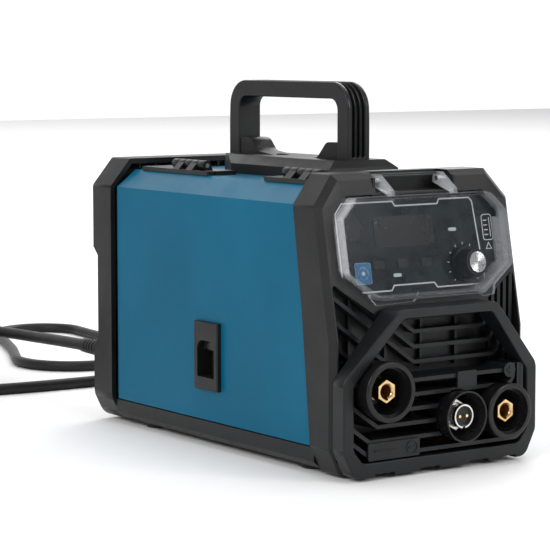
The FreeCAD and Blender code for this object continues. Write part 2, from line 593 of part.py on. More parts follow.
def make_power_switch():
    """Switch housing with a bezel round its rocker."""
    y = REAR_PANEL_Y + REAR_PANEL_THICK
    bezel = box(SWITCH_X - 16, SWITCH_X + 16, y, y + 2.0, SWITCH_Z - 12.5, SWITCH_Z + 12.5)
    bezel = bezel.makeFillet(0.9, [e for e in bezel.Edges if e.BoundBox.YMin > y + 1.9])
    barrel = box(SWITCH_X - 13.9, SWITCH_X + 13.9, y - 22.0, y, SWITCH_Z - 10.4, SWITCH_Z + 10.4)
    well = box(SWITCH_X - 12.4, SWITCH_X + 12.4, y - 12.0, y + 3, SWITCH_Z - 8.9, SWITCH_Z + 8.9)
    pivot = rod((SWITCH_X - 13.0, ROCKER_AXIS_Y, SWITCH_Z), (1, 0, 0), 1.2 - RUNNING, 26.0)
    return bezel.fuse(barrel).cut(well).fuse(pivot).removeSplitter()


def make_power_rocker():
    """Rocker that tips about its middle; its outer face is two planes that meet at a shallow angle."""
    y = ROCKER_AXIS_Y
    profile = [
        (y + 4.6, SWITCH_Z + 8.2), (y + 3.2, SWITCH_Z), (y + 6.0, SWITCH_Z - 7.2), (y - 1.0, SWITCH_Z - 7.0),
        (y - 5.0, SWITCH_Z), (y - 1.0, SWITCH_Z + 7.2)]
    rocker = extrude(profile, "YZ", SWITCH_X - 11.8, SWITCH_X + 11.8)
    return rocker.cut(rod((SWITCH_X - 13.0, y, SWITCH_Z), (1, 0, 0), 1.2, 26.0))


def make_cable_gland():
    y = REAR_PANEL_Y
    body = hexagon((GLAND_X, y + REAR_PANEL_THICK, GLAND_Z), 23.0, 6.0, "Y")
    body = body.fuse(rod((GLAND_X, y - 8.0, GLAND_Z), (0, 1, 0), 9.95, 22.0))
    return body.cut(rod((GLAND_X, y - 12, GLAND_Z), (0, 1, 0), CORD_DIAMETER / 2, 40)).removeSplitter()


GLAND_NUT_Y = REAR_PANEL_Y + REAR_PANEL_THICK + 6.4
GLAND_NUT_END = GLAND_NUT_Y + 13.0


def make_gland_nut():
    nut = hexagon((GLAND_X, GLAND_NUT_Y, GLAND_Z), 24.0, 8.0, "Y")
    dome = Part.makeCone(12.0, 8.5, 5.0, V(GLAND_X, GLAND_NUT_Y + 8.0, GLAND_Z), V(0, 1, 0))
    nut = nut.fuse(dome)
    nut = nut.cut(rod((GLAND_X, GLAND_NUT_Y - 1, GLAND_Z), (0, 1, 0), 9.95, 7.0))
    return nut.cut(rod((GLAND_X, GLAND_NUT_Y - 1, GLAND_Z), (0, 1, 0), 6.6, 20)).removeSplitter()


def make_strain_relief():
    """Ribbed rubber boot that tapers round the cord."""
    length = RELIEF_END_Y - GLAND_NUT_Y - 7.0
    boot = Part.makeCone(6.55, 5.4, length, V(GLAND_X, GLAND_NUT_Y + 7.0, GLAND_Z), V(0, 1, 0))
    for i in range(6):
        y = GLAND_NUT_END + 3.0 + 4.2 * i
        boot = boot.cut(tube((GLAND_X, y, GLAND_Z), (0, 1, 0), 9.0, 5.0, 1.4))
    return boot


# ---------------------------------------------------------------- body
def skin_front_cut(gap):
    """Keeps what lies behind the front edge of the sheet metal."""
    edge = [(-88.0, 200.0), (-90.6, 177.0), (-100.8, 107.0), (-110.0, 20.0), (-111.0, 0.0)]
    points = [(y + gap, z) for y, z in edge] + [(129.0, 0.0), (129.0, 200.0)]
    return extrude(points, "YZ", -100, 100)


def make_side_door():
    """Folded sheet: side, chamfer, a narrow strip of the top and a return at the bottom."""
    t = SHEET
    outside = [(-SKIN_HALF, SKIN_BOTTOM), (-SKIN_HALF, SHOULDER_Z), (-DECK_HALF, DECK_Z), (-57.7, DECK_Z)]
    inside = [
        (-57.7, DECK_Z - t), (-DECK_HALF + 0.4, DECK_Z - t), (-SKIN_HALF + t, SHOULDER_Z - 0.5),
        (-SKIN_HALF + t, SKIN_BOTTOM + t), (-SKIN_HALF + 8, SKIN_BOTTOM + t), (-SKIN_HALF + 8, SKIN_BOTTOM)]
    door = extrude(outside + inside, "XZ", -120, 129).common(skin_front_cut(0.0))
    return door.cut(box(-85, -70, LATCH_Y0 + 2.0, LATCH_Y1 - 2.0, 45.0, 84.5))


def make_top_cover():
    """Folded sheet: the top from the door's hinges across, the right chamfer and the right side."""
    t = SHEET
    outside = [(-56.7, DECK_Z), (DECK_HALF, DECK_Z), (SKIN_HALF, SHOULDER_Z), (SKIN_HALF, SKIN_BOTTOM)]
    inside = [
        (SKIN_HALF - t, SKIN_BOTTOM), (SKIN_HALF - t, SHOULDER_Z - 0.5), (DECK_HALF - 0.4, DECK_Z - t),
        (-56.7, DECK_Z - t)]
    cover = extrude(outside + inside, "XZ", -120, 133.4)
    front = [(-88.0, 200.0), (-90.6, 177.0), (-100.8, 107.0), (-110.0, 20.0), (-111.0, 0.0)]
    cover = cover.common(extrude(front + [(133.4, 0.0), (133.4, 200.0)], "YZ", -100, 100))
    for i in range(8):
        for row in range(2):
            y = -58.0 + 10.0 * i
            z = 62.0 + 34.0 * row
            cover = cover.cut(box(70, 85, y - 2.0, y + 2.0, z - 12.0, z + 12.0))
    for y in HANDLE_SCREWS_Y:
        cover = cover.cut(rod((0, y, DECK_Z - 5), (0, 0, 1), 2.1, 10))
    return cover


def make_base_tray():
    """Black moulded tray: floor, two low side walls, and bosses for the feet."""
    floor_z = 4.0
    outline = [
        (-78.5, 18.6), (-78.5, 9.0), (-72.5, floor_z), (72.5, floor_z), (78.5, 9.0), (78.5, 18.6), (75.5, 18.6),
        (75.5, 10.2), (71.4, floor_z + 3.0), (-71.4, floor_z + 3.0), (-75.5, 10.2), (-75.5, 18.6)]
    tray = extrude(outline, "XZ", -112.5, REAR_FRAME_Y - 0.3)
    tray = tray.cut(box(-76.5, -62.0, LATCH_Y0 + 8.0, LATCH_Y1 - 8.0, 16.0, 20.0))
    catch = box(-75.6, -60.0, LATCH_Y0 + 3.0, LATCH_Y1 - 3.0, 13.0, 16.0)
    catch = catch.cut(box(-70.4, -65.6, LATCH_Y0 + 8.0, LATCH_Y1 - 8.0, 12.0, 17.0))
    tray = tray.fuse(catch)
    for x in (-60.0, 60.0):
        for y in (-88.0, 104.0):
            tray = tray.cut(rod((x, y, 0), (0, 0, 1), 2.0, 12))
    return tray.removeSplitter()


FOOT_SPOTS = [(-60.0, -88.0), (60.0, -88.0), (-60.0, 104.0), (60.0, 104.0)]


def make_rubber_feet():
    feet = []
    for x, y in FOOT_SPOTS:
        pad = rod((x, y, 0), (0, 0, 1), 9.0, 4.0)
        pad = pad.makeFillet(0.8, [e for e in pad.Edges if e.BoundBox.ZMax < 0.1])
        feet.append(pad.fuse(rod((x, y, 3.9), (0, 0, 1), 1.95, 5.0)).removeSplitter())
    return loose(feet)


# ---------------------------------------------------------------- handle
GRIP_BAND = 11.6


def make_handle():
    low = 189.6
    outer = [(HANDLE_FRONT, low), (HANDLE_FRONT, HANDLE_TOP), (HANDLE_REAR, HANDLE_TOP), (HANDLE_REAR, low)]
    inner = [
        (HANDLE_FRONT + 12.4, low - 5), (HANDLE_FRONT + 12.4, HANDLE_TOP - GRIP_BAND),
        (HANDLE_REAR - 12.4, HANDLE_TOP - GRIP_BAND), (HANDLE_REAR - 12.4, low - 5)]
    body = extrude_rounded(outer, [0, 19, 19, 0], "YZ", -HANDLE_HALF, HANDLE_HALF)
    body = body.cut(extrude_rounded(inner, [0, 8, 8, 0], "YZ", -20, 20))
    depth = 3.2
    core = [
        (HANDLE_FRONT + depth, low - 5), (HANDLE_FRONT + depth, HANDLE_TOP - depth),
        (HANDLE_REAR - depth, HANDLE_TOP - depth), (HANDLE_REAR - depth, low - 5)]
    for x in (-4.2, 0.0, 4.2):
        groove = extrude(
            [(HANDLE_FRONT - 5, low + 13), (HANDLE_FRONT - 5, 270), (HANDLE_REAR + 5, 270), (HANDLE_REAR + 5, low + 13)],
            "YZ", x - 1.15, x + 1.15)
        body = body.cut(groove.cut(extrude_rounded(core, [0, 16, 16, 0], "YZ", x - 2, x + 2)))
    return body.removeSplitter()


BASE_TOP = 201.0


def make_handle_base():
    """Chamfered saddle on the deck, with a rounded hump inside each leg of the handle."""
    plan = [(-30, -66), (-30, 52.8), (-12.5, 86.5), (12.5, 86.5), (30, 52.8), (30, -66)]
    lower = extrude(plan, "XY", DECK_Z + 0.05, BASE_TOP)
    ridge = [(-30.1, DECK_Z), (-30.1, 195.0), (-22.0, BASE_TOP), (22.0, BASE_TOP), (30.1, 195.0), (30.1, DECK_Z)]
    saddle = lower.common(extrude(ridge, "XZ", -70, 90))
    slope = [(-70, DECK_Z), (-66, DECK_Z), (-63, 196.0), (-59, BASE_TOP), (79, BASE_TOP), (86.5, 194.0), (90, DECK_Z)]
    saddle = saddle.common(extrude(slope, "YZ", -40, 40))
    humps = []
    for leg_y, tip_y in ((HANDLE_REAR - 12.4, 25.0), (HANDLE_FRONT + 12.4, -20.0)):
        sign = 1 if leg_y > tip_y else -1
        crest = leg_y - sign * 13.0
        hump = [
            (leg_y + sign * 1.0, BASE_TOP - 3), (leg_y + sign * 1.0, 212.6), (crest, 212.6),
            (crest - sign * 9.0, 203.4), (tip_y, BASE_TOP - 0.6), (tip_y, BASE_TOP - 3)]
        humps.append(extrude_rounded(hump, [0, 3, 7, 8, 0, 0], "YZ", -8.6, 8.6))
    base = joined([saddle] + humps)
    for leg_y in (HANDLE_FRONT, HANDLE_REAR - 12.4):
        base = base.cut(box(-HANDLE_HALF, HANDLE_HALF, leg_y, leg_y + 12.4, 189.6, 230))
    for y in (-15.0, 31.0):
        base = base.cut(rod((0, y, BASE_TOP - 3.0), (0, 0, 1), 5.0, 12))
        base = base.cut(rod((0, y, DECK_Z - 1), (0, 0, 1), 2.2, 20))
    return base.removeSplitter()


def make_handle_screws():
    screws = []
    for y in HANDLE_SCREWS_Y:
        head = rod((0, y, BASE_TOP - 3.0), (0, 0, 1), 3.8, 2.4)
        head = head.cut(hexagon((0, y, BASE_TOP - 2.2), 3.0, 3.0, "Z"))
        screws.append(head.fuse(rod((0, y, DECK_Z - 10), (0, 0, 1), 2.0, 20)).removeSplitter())
    return screws


# ---------------------------------------------------------------- door hinges
HINGES = [(46.0, 87.0, 33.0, 118.0), (-90.0, -49.0, -90.4, -36.0)]
KNUCKLES = 5
LEAF_BOTTOM = DECK_Z + 0.05
LEAF_TOP = DECK_Z + 3.0


def hinge_leaf(start, end, leaf_start, leaf_end, on_door):
    """A flat leaf and every other knuckle of one hinge."""
    width = (end - start) / KNUCKLES
    if on_door:
        leaf = box(-64.0, -58.0, leaf_start, leaf_end, LEAF_BOTTOM, LEAF_TOP)
    else:
        leaf = box(-56.4, -39.0, leaf_start, leaf_end, LEAF_BOTTOM, LEAF_TOP)
    solids = [leaf]
    for i in range(KNUCKLES):
        if (i % 2 == 1) == on_door:
            low = start + i * width + 0.2
            high = start + (i + 1) * width - 0.2
            solids.append(rod((HINGE_X, low, HINGE_Z), (0, 1, 0), KNUCKLE_RADIUS, high - low))
            if on_door:
                web = [(-63.0, LEAF_TOP - 1), (-63.0, LEAF_TOP), (HINGE_X - 2.2, HINGE_Z + 2.4),
                       (HINGE_X, HINGE_Z - 0.5), (HINGE_X - 3.2, LEAF_TOP - 1)]
            else:
                web = [(-50.0, LEAF_TOP - 1), (-50.0, LEAF_TOP), (HINGE_X + 2.4, HINGE_Z + 2.2),
                       (HINGE_X, HINGE_Z - 0.5), (HINGE_X - 1.2, LEAF_TOP - 1)]
            solids.append(extrude(web, "XZ", low, high))
    leaf = joined(solids)
    clearance = RUNNING if on_door else 0.0
    leaf = leaf.cut(rod((HINGE_X, start - 1, HINGE_Z), (0, 1, 0), PIN_RADIUS + clearance, end - start + 2))
    if on_door:
        for i in range(0, KNUCKLES, 2):
            low = max(start + i * width - 0.2, leaf_start)
            high = start + (i + 1) * width + 0.2
            leaf = leaf.cut(box(-59.6, -50, low, high, LEAF_TOP - 0.01, 200))
    else:
        for i in range(1, KNUCKLES, 2):
            gap_end = start + (i + 1) * width + 0.2
            leaf = leaf.cut(rod((HINGE_X, start + i * width - 0.2, HINGE_Z), (0, 1, 0), 4.9, gap_end - start - i * width + 0.2))
    return leaf.removeSplitter()


def make_hinge_pins():
    pins = []
    for start, end, _, _ in HINGES:
        pins.append(rod((HINGE_X, start - 0.4, HINGE_Z), (0, 1, 0), PIN_RADIUS, end - start + 0.8))
    return pins


# ---------------------------------------------------------------- door latch
LATCH_Y0 = -6.2
LATCH_Y1 = 22.7
LATCH_Z0 = 41.2
LATCH_Z1 = 88.6
POCKET_Y0 = -2.4
POCKET_Y1 = 18.2
POCKET_Z0 = 50.0
POCKET_Z1 = 75.6
SLIDE_Y0 = 3.4
SLIDE_Y1 = 12.4


def make_latch_frame():
    """Black frame on the door with a finger pocket behind its arched opening."""
    x0 = -SKIN_HALF - 3.6
    plate = box(x0, -SKIN_HALF, LATCH_Y0, LATCH_Y1, LATCH_Z0, LATCH_Z1)
    rim = [e for e in plate.Edges if e.BoundBox.XMax < x0 + 0.01]
    plate = plate.makeFillet(1.2, rim)
    cup = box(-SKIN_HALF - 0.5, -69.0, POCKET_Y0 - 1.4, POCKET_Y1 + 1.4, POCKET_Z0 - 1.4, 82.0)
    body = plate.fuse(cup)
    opening = [(POCKET_Y0, POCKET_Z0), (POCKET_Y0, POCKET_Z1), (POCKET_Y1, POCKET_Z1), (POCKET_Y1, POCKET_Z0)]
    body = body.cut(extrude_rounded(opening, [1, 6, 6, 1], "YZ", x0 - 1, -SKIN_HALF + 0.6))
    body = body.cut(box(-SKIN_HALF + 0.6, -70.4, POCKET_Y0, POCKET_Y1, POCKET_Z0, 80.6))
    body = body.cut(box(-71.0, -68.0, SLIDE_Y0 - 0.4, SLIDE_Y1 + 0.4, 61.0, 80.6))
    return body.removeSplitter()


def make_latch_slide():
    """Paddle in the pocket, a web through the pocket's back, and a bolt down to the tray."""
    paddle = box(-77.9, -71.4, POCKET_Y0 + 0.8, POCKET_Y1 - 0.8, 67.4, 74.0)
    rounding = [e for e in paddle.Edges if e.BoundBox.XMax < -77.8 and e.BoundBox.ZMax < 67.5]
    paddle = paddle.makeFillet(2.0, rounding)
    web = box(-71.5, -66.9, SLIDE_Y0, SLIDE_Y1, 67.4, 74.0)
    bolt = box(-68.4, -66.2, SLIDE_Y0, SLIDE_Y1, 13.4, 74.0)
    return joined([paddle, web, bolt])


# ---------------------------------------------------------------- inside, wire side
DRIVE_RADIUS = 15.0
DRIVE_Z = WIRE_Z - WIRE_RADIUS - 0.3 - DRIVE_RADIUS
ROLLER_RADIUS = 11.0
ROLLER_Z = WIRE_Z + WIRE_RADIUS + 0.3 + ROLLER_RADIUS
FEED_Y = -56.0
ARM_PIVOT_Y = -24.0
ARM_PIVOT_Z = 82.0
ARM_Z0 = 86.0
ARM_Z1 = 92.0
SPRING_Y = -82.0
BRIDGE_Z = 108.0


def make_partition():
    wall = box(PARTITION_X, PARTITION_X + 1.5, -110, 129.0, 7.1, DECK_Z - SHEET - 0.2)
    foot = box(PARTITION_X, PARTITION_X + 14, -96, 129.0, 7.05, 8.55)
    top = box(PARTITION_X, PARTITION_X + 14, -84, 129.0, DECK_Z - SHEET - 1.6, DECK_Z - SHEET - 0.1)
    wall = joined([wall, foot, top])
    wall = wall.common(extrude([(-88, 200), (-94, 150), (-106, 60), (-110, 0), (129, 0), (129, 200)], "YZ", -30, 10))
    wall = wall.cut(rod((PARTITION_X - 5, FEED_Y, DRIVE_Z), (1, 0, 0), 6.6, 20))
    wall = wall.cut(rod((PARTITION_X - 5, SPOOL_Y, SPOOL_Z), (1, 0, 0), 4.0, 20))
    for i in range(7):
        y = -30.0 + 9.0 * i
        wall = wall.cut(box(PARTITION_X - 1, PARTITION_X + 3, y - 1.6, y + 1.6, 150.0, 172.0))
    return wall.removeSplitter()


def make_feeder_frame():
    """Moulded bracket on the partition: motor seat, wire guide ears, arm pivot post and spring bridge."""
    x1 = PARTITION_X - 0.05
    seat = box(-30.0, x1, -92.0, -14.0, 22.0, 80.0)
    seat = seat.cut(rod((-60, FEED_Y, DRIVE_Z), (1, 0, 0), 6.2, 60))
    ears = []
    for y0 in (-92.0, -26.0):
        ear = box(-58.0, -29.0, y0, y0 + 12.0, 50.0, 66.0)
        ear = ear.cut(rod((WIRE_X, y0 - 1, WIRE_Z), (0, 1, 0), 3.0, 14))
        ears.append(ear)
    post = box(-30.0, x1, -32.0, -14.0, 78.0, 90.0)
    bridge_post = box(-30.0, x1, -92.0, -74.0, 78.0, BRIDGE_Z + 8)
    bridge = box(-60.0, -29.0, -90.0, -74.0, BRIDGE_Z, BRIDGE_Z + 8)
    bridge = bridge.cut(rod((WIRE_X, SPRING_Y, BRIDGE_Z - 1), (0, 0, 1), 3.05, 12))
    bracket = joined([seat, post, bridge_post, bridge] + ears)
    return bracket.cut(rod((-31.0, ARM_PIVOT_Y, ARM_PIVOT_Z), (1, 0, 0), 2.5, 3.0))


def make_arm_pin():
    return rod((-60.0, ARM_PIVOT_Y, ARM_PIVOT_Z), (1, 0, 0), 2.5, 32.0)


def make_pressure_arm():
    """Lever over the pressure roller, pivoted at the rear, pressed down at the front by the spring."""
    bar = [
        (SPRING_Y - 7, ARM_Z0), (SPRING_Y - 7, ARM_Z1), (-40, ARM_Z1), (ARM_PIVOT_Y, ARM_PIVOT_Z + 6),
        (ARM_PIVOT_Y + 6, ARM_PIVOT_Z), (ARM_PIVOT_Y, ARM_PIVOT_Z - 6), (-40, ARM_Z0)]
    arm = extrude(bar, "YZ", -58.0, -33.0)
    cheeks = []
    for x in (-58.0, -44.0):
        cheek = extrude([(-68, ARM_Z0 + 2), (-45, ARM_Z0 + 2), (-50, 64.5), (-62, 64.5)], "YZ", x, x + 3.0)
        cheeks.append(cheek)
    arm = arm.fuse(cheeks[0]).fuse(cheeks[1])
    arm = arm.cut(rod((-58, FEED_Y, ROLLER_Z), (1, 0, 0), 3.0, 17.0))
    return arm.cut(rod((-70, ARM_PIVOT_Y, ARM_PIVOT_Z), (1, 0, 0), 2.5 + RUNNING, 50))


def make_roller_pin():
    return rod((-58.0, FEED_Y, ROLLER_Z), (1, 0, 0), 3.0, 17.0)


def make_pressure_roller():
    roller = rod((-54.6, FEED_Y, ROLLER_Z), (1, 0, 0), ROLLER_RADIUS, 9.2)
    roller = roller.makeChamfer(0.8, roller.Edges[:1] + roller.Edges[2:])
    return roller.cut(rod((-60, FEED_Y, ROLLER_Z), (1, 0, 0), 3.0 + RUNNING, 20))


def make_drive_roll():
    """Steel roll with two grooves, on its shaft."""
    roll = rod((-55.0, FEED_Y, DRIVE_Z), (1, 0, 0), DRIVE_RADIUS, 10.0)
    for x in (WIRE_X - 0.5, WIRE_X + 2.6):
        groove = tube((x - 0.1, FEED_Y, DRIVE_Z), (1, 0, 0), DRIVE_RADIUS + 2, DRIVE_RADIUS - 0.6, 1.2)
        roll = roll.cut(groove)
    shaft = rod((-59.0, FEED_Y, DRIVE_Z), (1, 0, 0), 4.0, 44.0)
    cap = hexagon((-60.5, FEED_Y, DRIVE_Z), 11.0, 5.5, "X")
    return joined([roll, shaft, cap])


def make_feed_motor():
    """Gear motor behind the partition, with a bore that carries the roll's shaft."""
    gearbox = rod((PARTITION_X + 1.55, FEED_Y, DRIVE_Z), (1, 0, 0), 18.5, 22.0)
    motor = rod((PARTITION_X + 23.5, FEED_Y, DRIVE_Z), (1, 0, 0), 17.0, 42.0)
    cap = rod((PARTITION_X + 65.5, FEED_Y, DRIVE_Z), (1, 0, 0), 6.0, 3.0)
    bore = rod((PARTITION_X - 2, FEED_Y, DRIVE_Z), (1, 0, 0), 4.0 + RUNNING, 12)
    return joined([gearbox, motor, cap]).cut(bore)


def make_tension_knob():
    """Knob on a threaded rod through the bridge, pressing on the spring's top."""
    stem = rod((WIRE_X, SPRING_Y, BRIDGE_Z - 2.0), (0, 0, 1), 3.0, 14.0)
    washer = rod((WIRE_X, SPRING_Y, BRIDGE_Z - 3.4), (0, 0, 1), 5.5, 1.6)
    knob = rod((WIRE_X, SPRING_Y, BRIDGE_Z + 8.4), (0, 0, 1), 8.5, 16.0)
    knob = knob.makeFillet(1.5, [e for e in knob.Edges if e.BoundBox.ZMin > BRIDGE_Z + 24])
    for i in range(10):
        angle = math.radians(36 * i)
        centre = (WIRE_X + 9.4 * math.cos(angle), SPRING_Y + 9.4 * math.sin(angle), BRIDGE_Z + 10)
        knob = knob.cut(rod(centre, (0, 0, 1), 1.6, 16))
    return joined([stem, washer, knob])


SPRING_BOTTOM = ARM_Z1 + 0.3
SPRING_TOP = BRIDGE_Z - 3.7


def make_tension_spring():
    """Compression spring between the arm and the knob's washer."""
    wire = 0.7
    pitch = 2.6
    radius = 4.2
    height = SPRING_TOP - SPRING_BOTTOM - 2 * wire
    helix = Part.makeHelix(pitch, height, radius)
    section = Part.Wire(Part.makeCircle(wire, V(radius, 0, 0), V(0, 1, 0.1)))
    spring = Part.Wire(helix).makePipeShell([section], True, True)
    spring.translate(V(WIRE_X, SPRING_Y, SPRING_BOTTOM + wire))
    return spring


def make_wire_guides():
    """Brass tubes in the two ears: from the spool side, and out towards the torch socket."""
    inlet = tube((WIRE_X, -34.0, WIRE_Z), (0, 1, 0), 3.0, 1.0, 24.0)
    outlet = tube((WIRE_X, -103.4, WIRE_Z), (0, 1, 0), 3.0, 1.0, 30.4)
    return loose([inlet, outlet])


WINDING_RADIUS = SPOOL_Z - WIRE_Z - WIRE_RADIUS - 0.3


def make_welding_wire():
    return rod((WIRE_X, -103.6, WIRE_Z), (0, 1, 0), WIRE_RADIUS, SPOOL_Y + 103.6)


def make_spool_spindle():
    flange = rod((PARTITION_X - 3.0, SPOOL_Y, SPOOL_Z), (1, 0, 0), 14.0, 2.95)
    hub = rod((-68.4, SPOOL_Y, SPOOL_Z), (1, 0, 0), 7.9, 47.5)
    stud = rod((-75.0, SPOOL_Y, SPOOL_Z), (1, 0, 0), 3.0, 10.0)
    tail = rod((PARTITION_X - 3.0, SPOOL_Y, SPOOL_Z), (1, 0, 0), 3.95, 9.0)
    return joined([flange, hub, stud, tail])


def make_spool_nut():
    """Hand nut with three lobes that keeps the spool on."""
    nut = rod((-76.4, SPOOL_Y, SPOOL_Z), (1, 0, 0), 8.0, 6.6)
    for i in range(3):
        angle = math.radians(120 * i + 90)
        lobe = rod((-76.4, SPOOL_Y + 8.0 * math.cos(angle), SPOOL_Z + 8.0 * math.sin(angle)), (1, 0, 0), 4.5, 6.6)
        nut = nut.fuse(lobe)
    washer = rod((-69.8, SPOOL_Y, SPOOL_Z), (1, 0, 0), 10.0, 1.35)
    return nut.fuse(washer).cut(rod((-80, SPOOL_Y, SPOOL_Z), (1, 0, 0), 3.0, 20)).removeSplitter()


def make_wire_spool():
    """Plastic spool: two flanges with windows on a hollow core."""
    axis = (1, 0, 0)
    flanges = []
    for x in (-67.6, -24.4):
        flange = rod((x, SPOOL_Y, SPOOL_Z), axis, 50.0, 2.4)
        for i in range(6):
            angle = math.radians(60 * i)
            hole = (x - 1, SPOOL_Y + 20.5 * math.cos(angle), SPOOL_Z + 20.5 * math.sin(angle))
            flange = flange.cut(rod(hole, axis, 5.5, 6))
        flanges.append(flange)
    core = rod((-66.4, SPOOL_Y, SPOOL_Z), axis, 12.5, 43.2)
    rim = tube((-66.4, SPOOL_Y, SPOOL_Z), axis, 28.0, 26.4, 43.2)
    spool = flanges[0].fuse(flanges[1]).fuse(core).fuse(rim)
    return spool.cut(rod((-80, SPOOL_Y, SPOOL_Z), axis, 7.9 + RUNNING, 70))


def make_spool_winding():
    return tube((-65.15, SPOOL_Y, SPOOL_Z), (1, 0, 0), WINDING_RADIUS, 28.05, 40.7)


# ---------------------------------------------------------------- inside, power side
def make_fan_frame():
    y0 = 118.0
    y1 = 143.0
    half = 40.0
    corners = [(FAN_X - half, FAN_Z - half), (FAN_X - half, FAN_Z + half), (FAN_X + half, FAN_Z + half),
               (FAN_X + half, FAN_Z - half)]
    frame = extrude_rounded(corners, [4] * 4, "XZ", y0, y1)
    frame = frame.cut(rod((FAN_X, y0 - 1, FAN_Z), (0, 1, 0), 38.0, 40))
    motor = rod((FAN_X, y0, FAN_Z), (0, 1, 0), 16.0, 4.0)
    arms = []
    for i in range(4):
        angle = math.radians(90 * i + 45)
        arm = box(0, 39.5, y0, y0 + 3.0, -2.0, 2.0)
        arm.rotate(V(0, 0, 0), V(0, 1, 0), math.degrees(angle))
        arm.translate(V(FAN_X, 0, FAN_Z))
        arms.append(arm)
    pin = rod((FAN_X, y0, FAN_Z), (0, 1, 0), 1.5, 18.0)
    return joined([frame, motor, pin] + arms)


def make_fan_rotor():
    y0 = 123.0
    hub = rod((FAN_X, y0, FAN_Z), (0, 1, 0), 17.0, 18.0)
    hub = hub.makeFillet(1.5, [e for e in hub.Edges if e.BoundBox.YMin > y0 + 17.9])
    blades = []
    for i in range(7):
        blade = box(14.0, 36.5, y0 + 1.0, y0 + 15.0, -0.8, 0.8)
        blade.rotate(V(25, y0 + 8, 0), V(1, 0, 0), 48)
        blade.rotate(V(0, 0, 0), V(0, 1, 0), 360.0 / 7 * i)
        blade.translate(V(FAN_X, 0, FAN_Z))
        blades.append(blade)
    rotor = joined([hub] + blades)
    return rotor.cut(rod((FAN_X, y0 - 1, FAN_Z), (0, 1, 0), 1.5 + RUNNING, 14.2)).removeSplitter()


def make_power_board():
    board = box(-3.0, 74.0, -20.0, 112.0, 12.0, 13.6)
    parts = [board]
    for y in (60.0, 86.0):
        for x in (8.0, 34.0):
            parts.append(rod((x, y, 13.5), (0, 0, 1), 11.0, 30.0))
    parts.append(box(54.0, 72.0, 50.0, 100.0, 13.5, 30.0))
    return joined(parts)


def make_heat_sink():
    base = box(0.0, 62.0, -16.0, 44.0, 20.0, 26.0)
    fins = [base]
    for i in range(11):
        x = 0.0 + 6.0 * i
        fins.append(box(x, x + 2.0, -16.0, 44.0, 25.5, 60.0))
    legs = [box(2, 6, -14, -10, 13.6, 20.5), box(56, 60, -14, -10, 13.6, 20.5), box(2, 6, 38, 42, 13.6, 20.5),
            box(56, 60, 38, 42, 13.6, 20.5)]
    return joined(fins + legs)


def make_transformer():
    core = box(4.0, 58.0, -12.0, 40.0, 66.0, 106.0)
    for x in (14.0, 38.0):
        core = core.cut(box(x, x + 10.0, -13.0, 41.0, 74.0, 98.0))
    winding = tube((31.0, 14.0, 74.2), (0, 0, 1), 16.6, 16.0, 23.6)
    stand = box(6.0, 56.0, -10.0, 38.0, 60.0, 66.05)
    return joined([core, stand, winding.common(box(14.1, 47.9, -20, 60, 74.2, 97.8))])


def make_inductor():
    ring = Part.makeTorus(16.0, 9.0, V(46.0, -84.0, 78.0), V(0, 0, 1))
    bracket = box(36.0, 56.0, -94.0, -74.0, 8.6, 72.0)
    bracket = bracket.cut(box(38.0, 54.0, -96.0, -72.0, 12.0, 68.0))
    return ring.fuse(bracket).removeSplitter()


# ---------------------------------------------------------------- fasteners
FRAME_SCREWS = [(-68.0, 172.0), (68.0, 172.0), (-70.0, 24.0), (70.0, 24.0)]


def make_rear_screws():
    """Cross-headed screws that hold the rear panel."""
    screws = []
    y = REAR_PANEL_Y + REAR_PANEL_THICK
    for x, z in FRAME_SCREWS:
        head = rod((x, y, z), (0, 1, 0), 3.4, 2.2)
        head = head.cut(box(x - 2.4, x + 2.4, y + 1.2, y + 3, z - 0.5, z + 0.5))
        head = head.cut(box(x - 0.5, x + 0.5, y + 1.2, y + 3, z - 2.4, z + 2.4))
        screws.append(head)
    return screws


def make_socket_nuts():
    nuts = []
    for x, z, _ in CUPS.values():
        nut = hexagon((x, CUP_BACK_Y + 2.05, z), 20.0, 5.0, "Y")
        nuts.append(nut.cut(rod((x, CUP_BACK_Y, z), (0, 1, 0), 7.0, 10)))
    return loose(nuts)


# ---------------------------------------------------------------- mains lead
UPPER_ROUTE = [
    (GLAND_X, RELIEF_END_Y, GLAND_Z), (-64.5, 236.0, 49.0), (-60.5, 280.0, 46.6), (-61.5, 322.0, 45.6),
    (-69.5, 354.0, 45.9)]
LOWER_ROUTE = [
    (-92.0, 301.0), (-53.0, 296.0), (-12.0, 294.0), (32.0, 294.0), (76.0, 298.0), (116.0, 316.0), (140.0, 350.0),
    (146.0, 392.0), (146.0, 434.0), (144.0, 476.0), (145.0, 518.0), (149.0, 560.0), (154.0, 598.0), (130.0, 624.0),
    (96.0, 624.0), (72.0, 600.0), (61.0, 566.0), (47.0, 529.0), (33.0, 494.0), (16.0, 460.0), (0.0, 424.0),
    (10.0, 389.5), (38.7, 367.7)]
PLUG_START = (70.0, 367.7)
FLOOR_LINE = CORD_DIAMETER / 2
COIL_TOP_LINE = FLOOR_LINE + COIL_TURNS * CORD_DIAMETER


def coil_point(degrees, height):
    angle = math.radians(degrees)
    return (COIL_CENTRE[0] + COIL_RADIUS * math.cos(angle), COIL_CENTRE[1] + COIL_RADIUS * math.sin(angle), height)


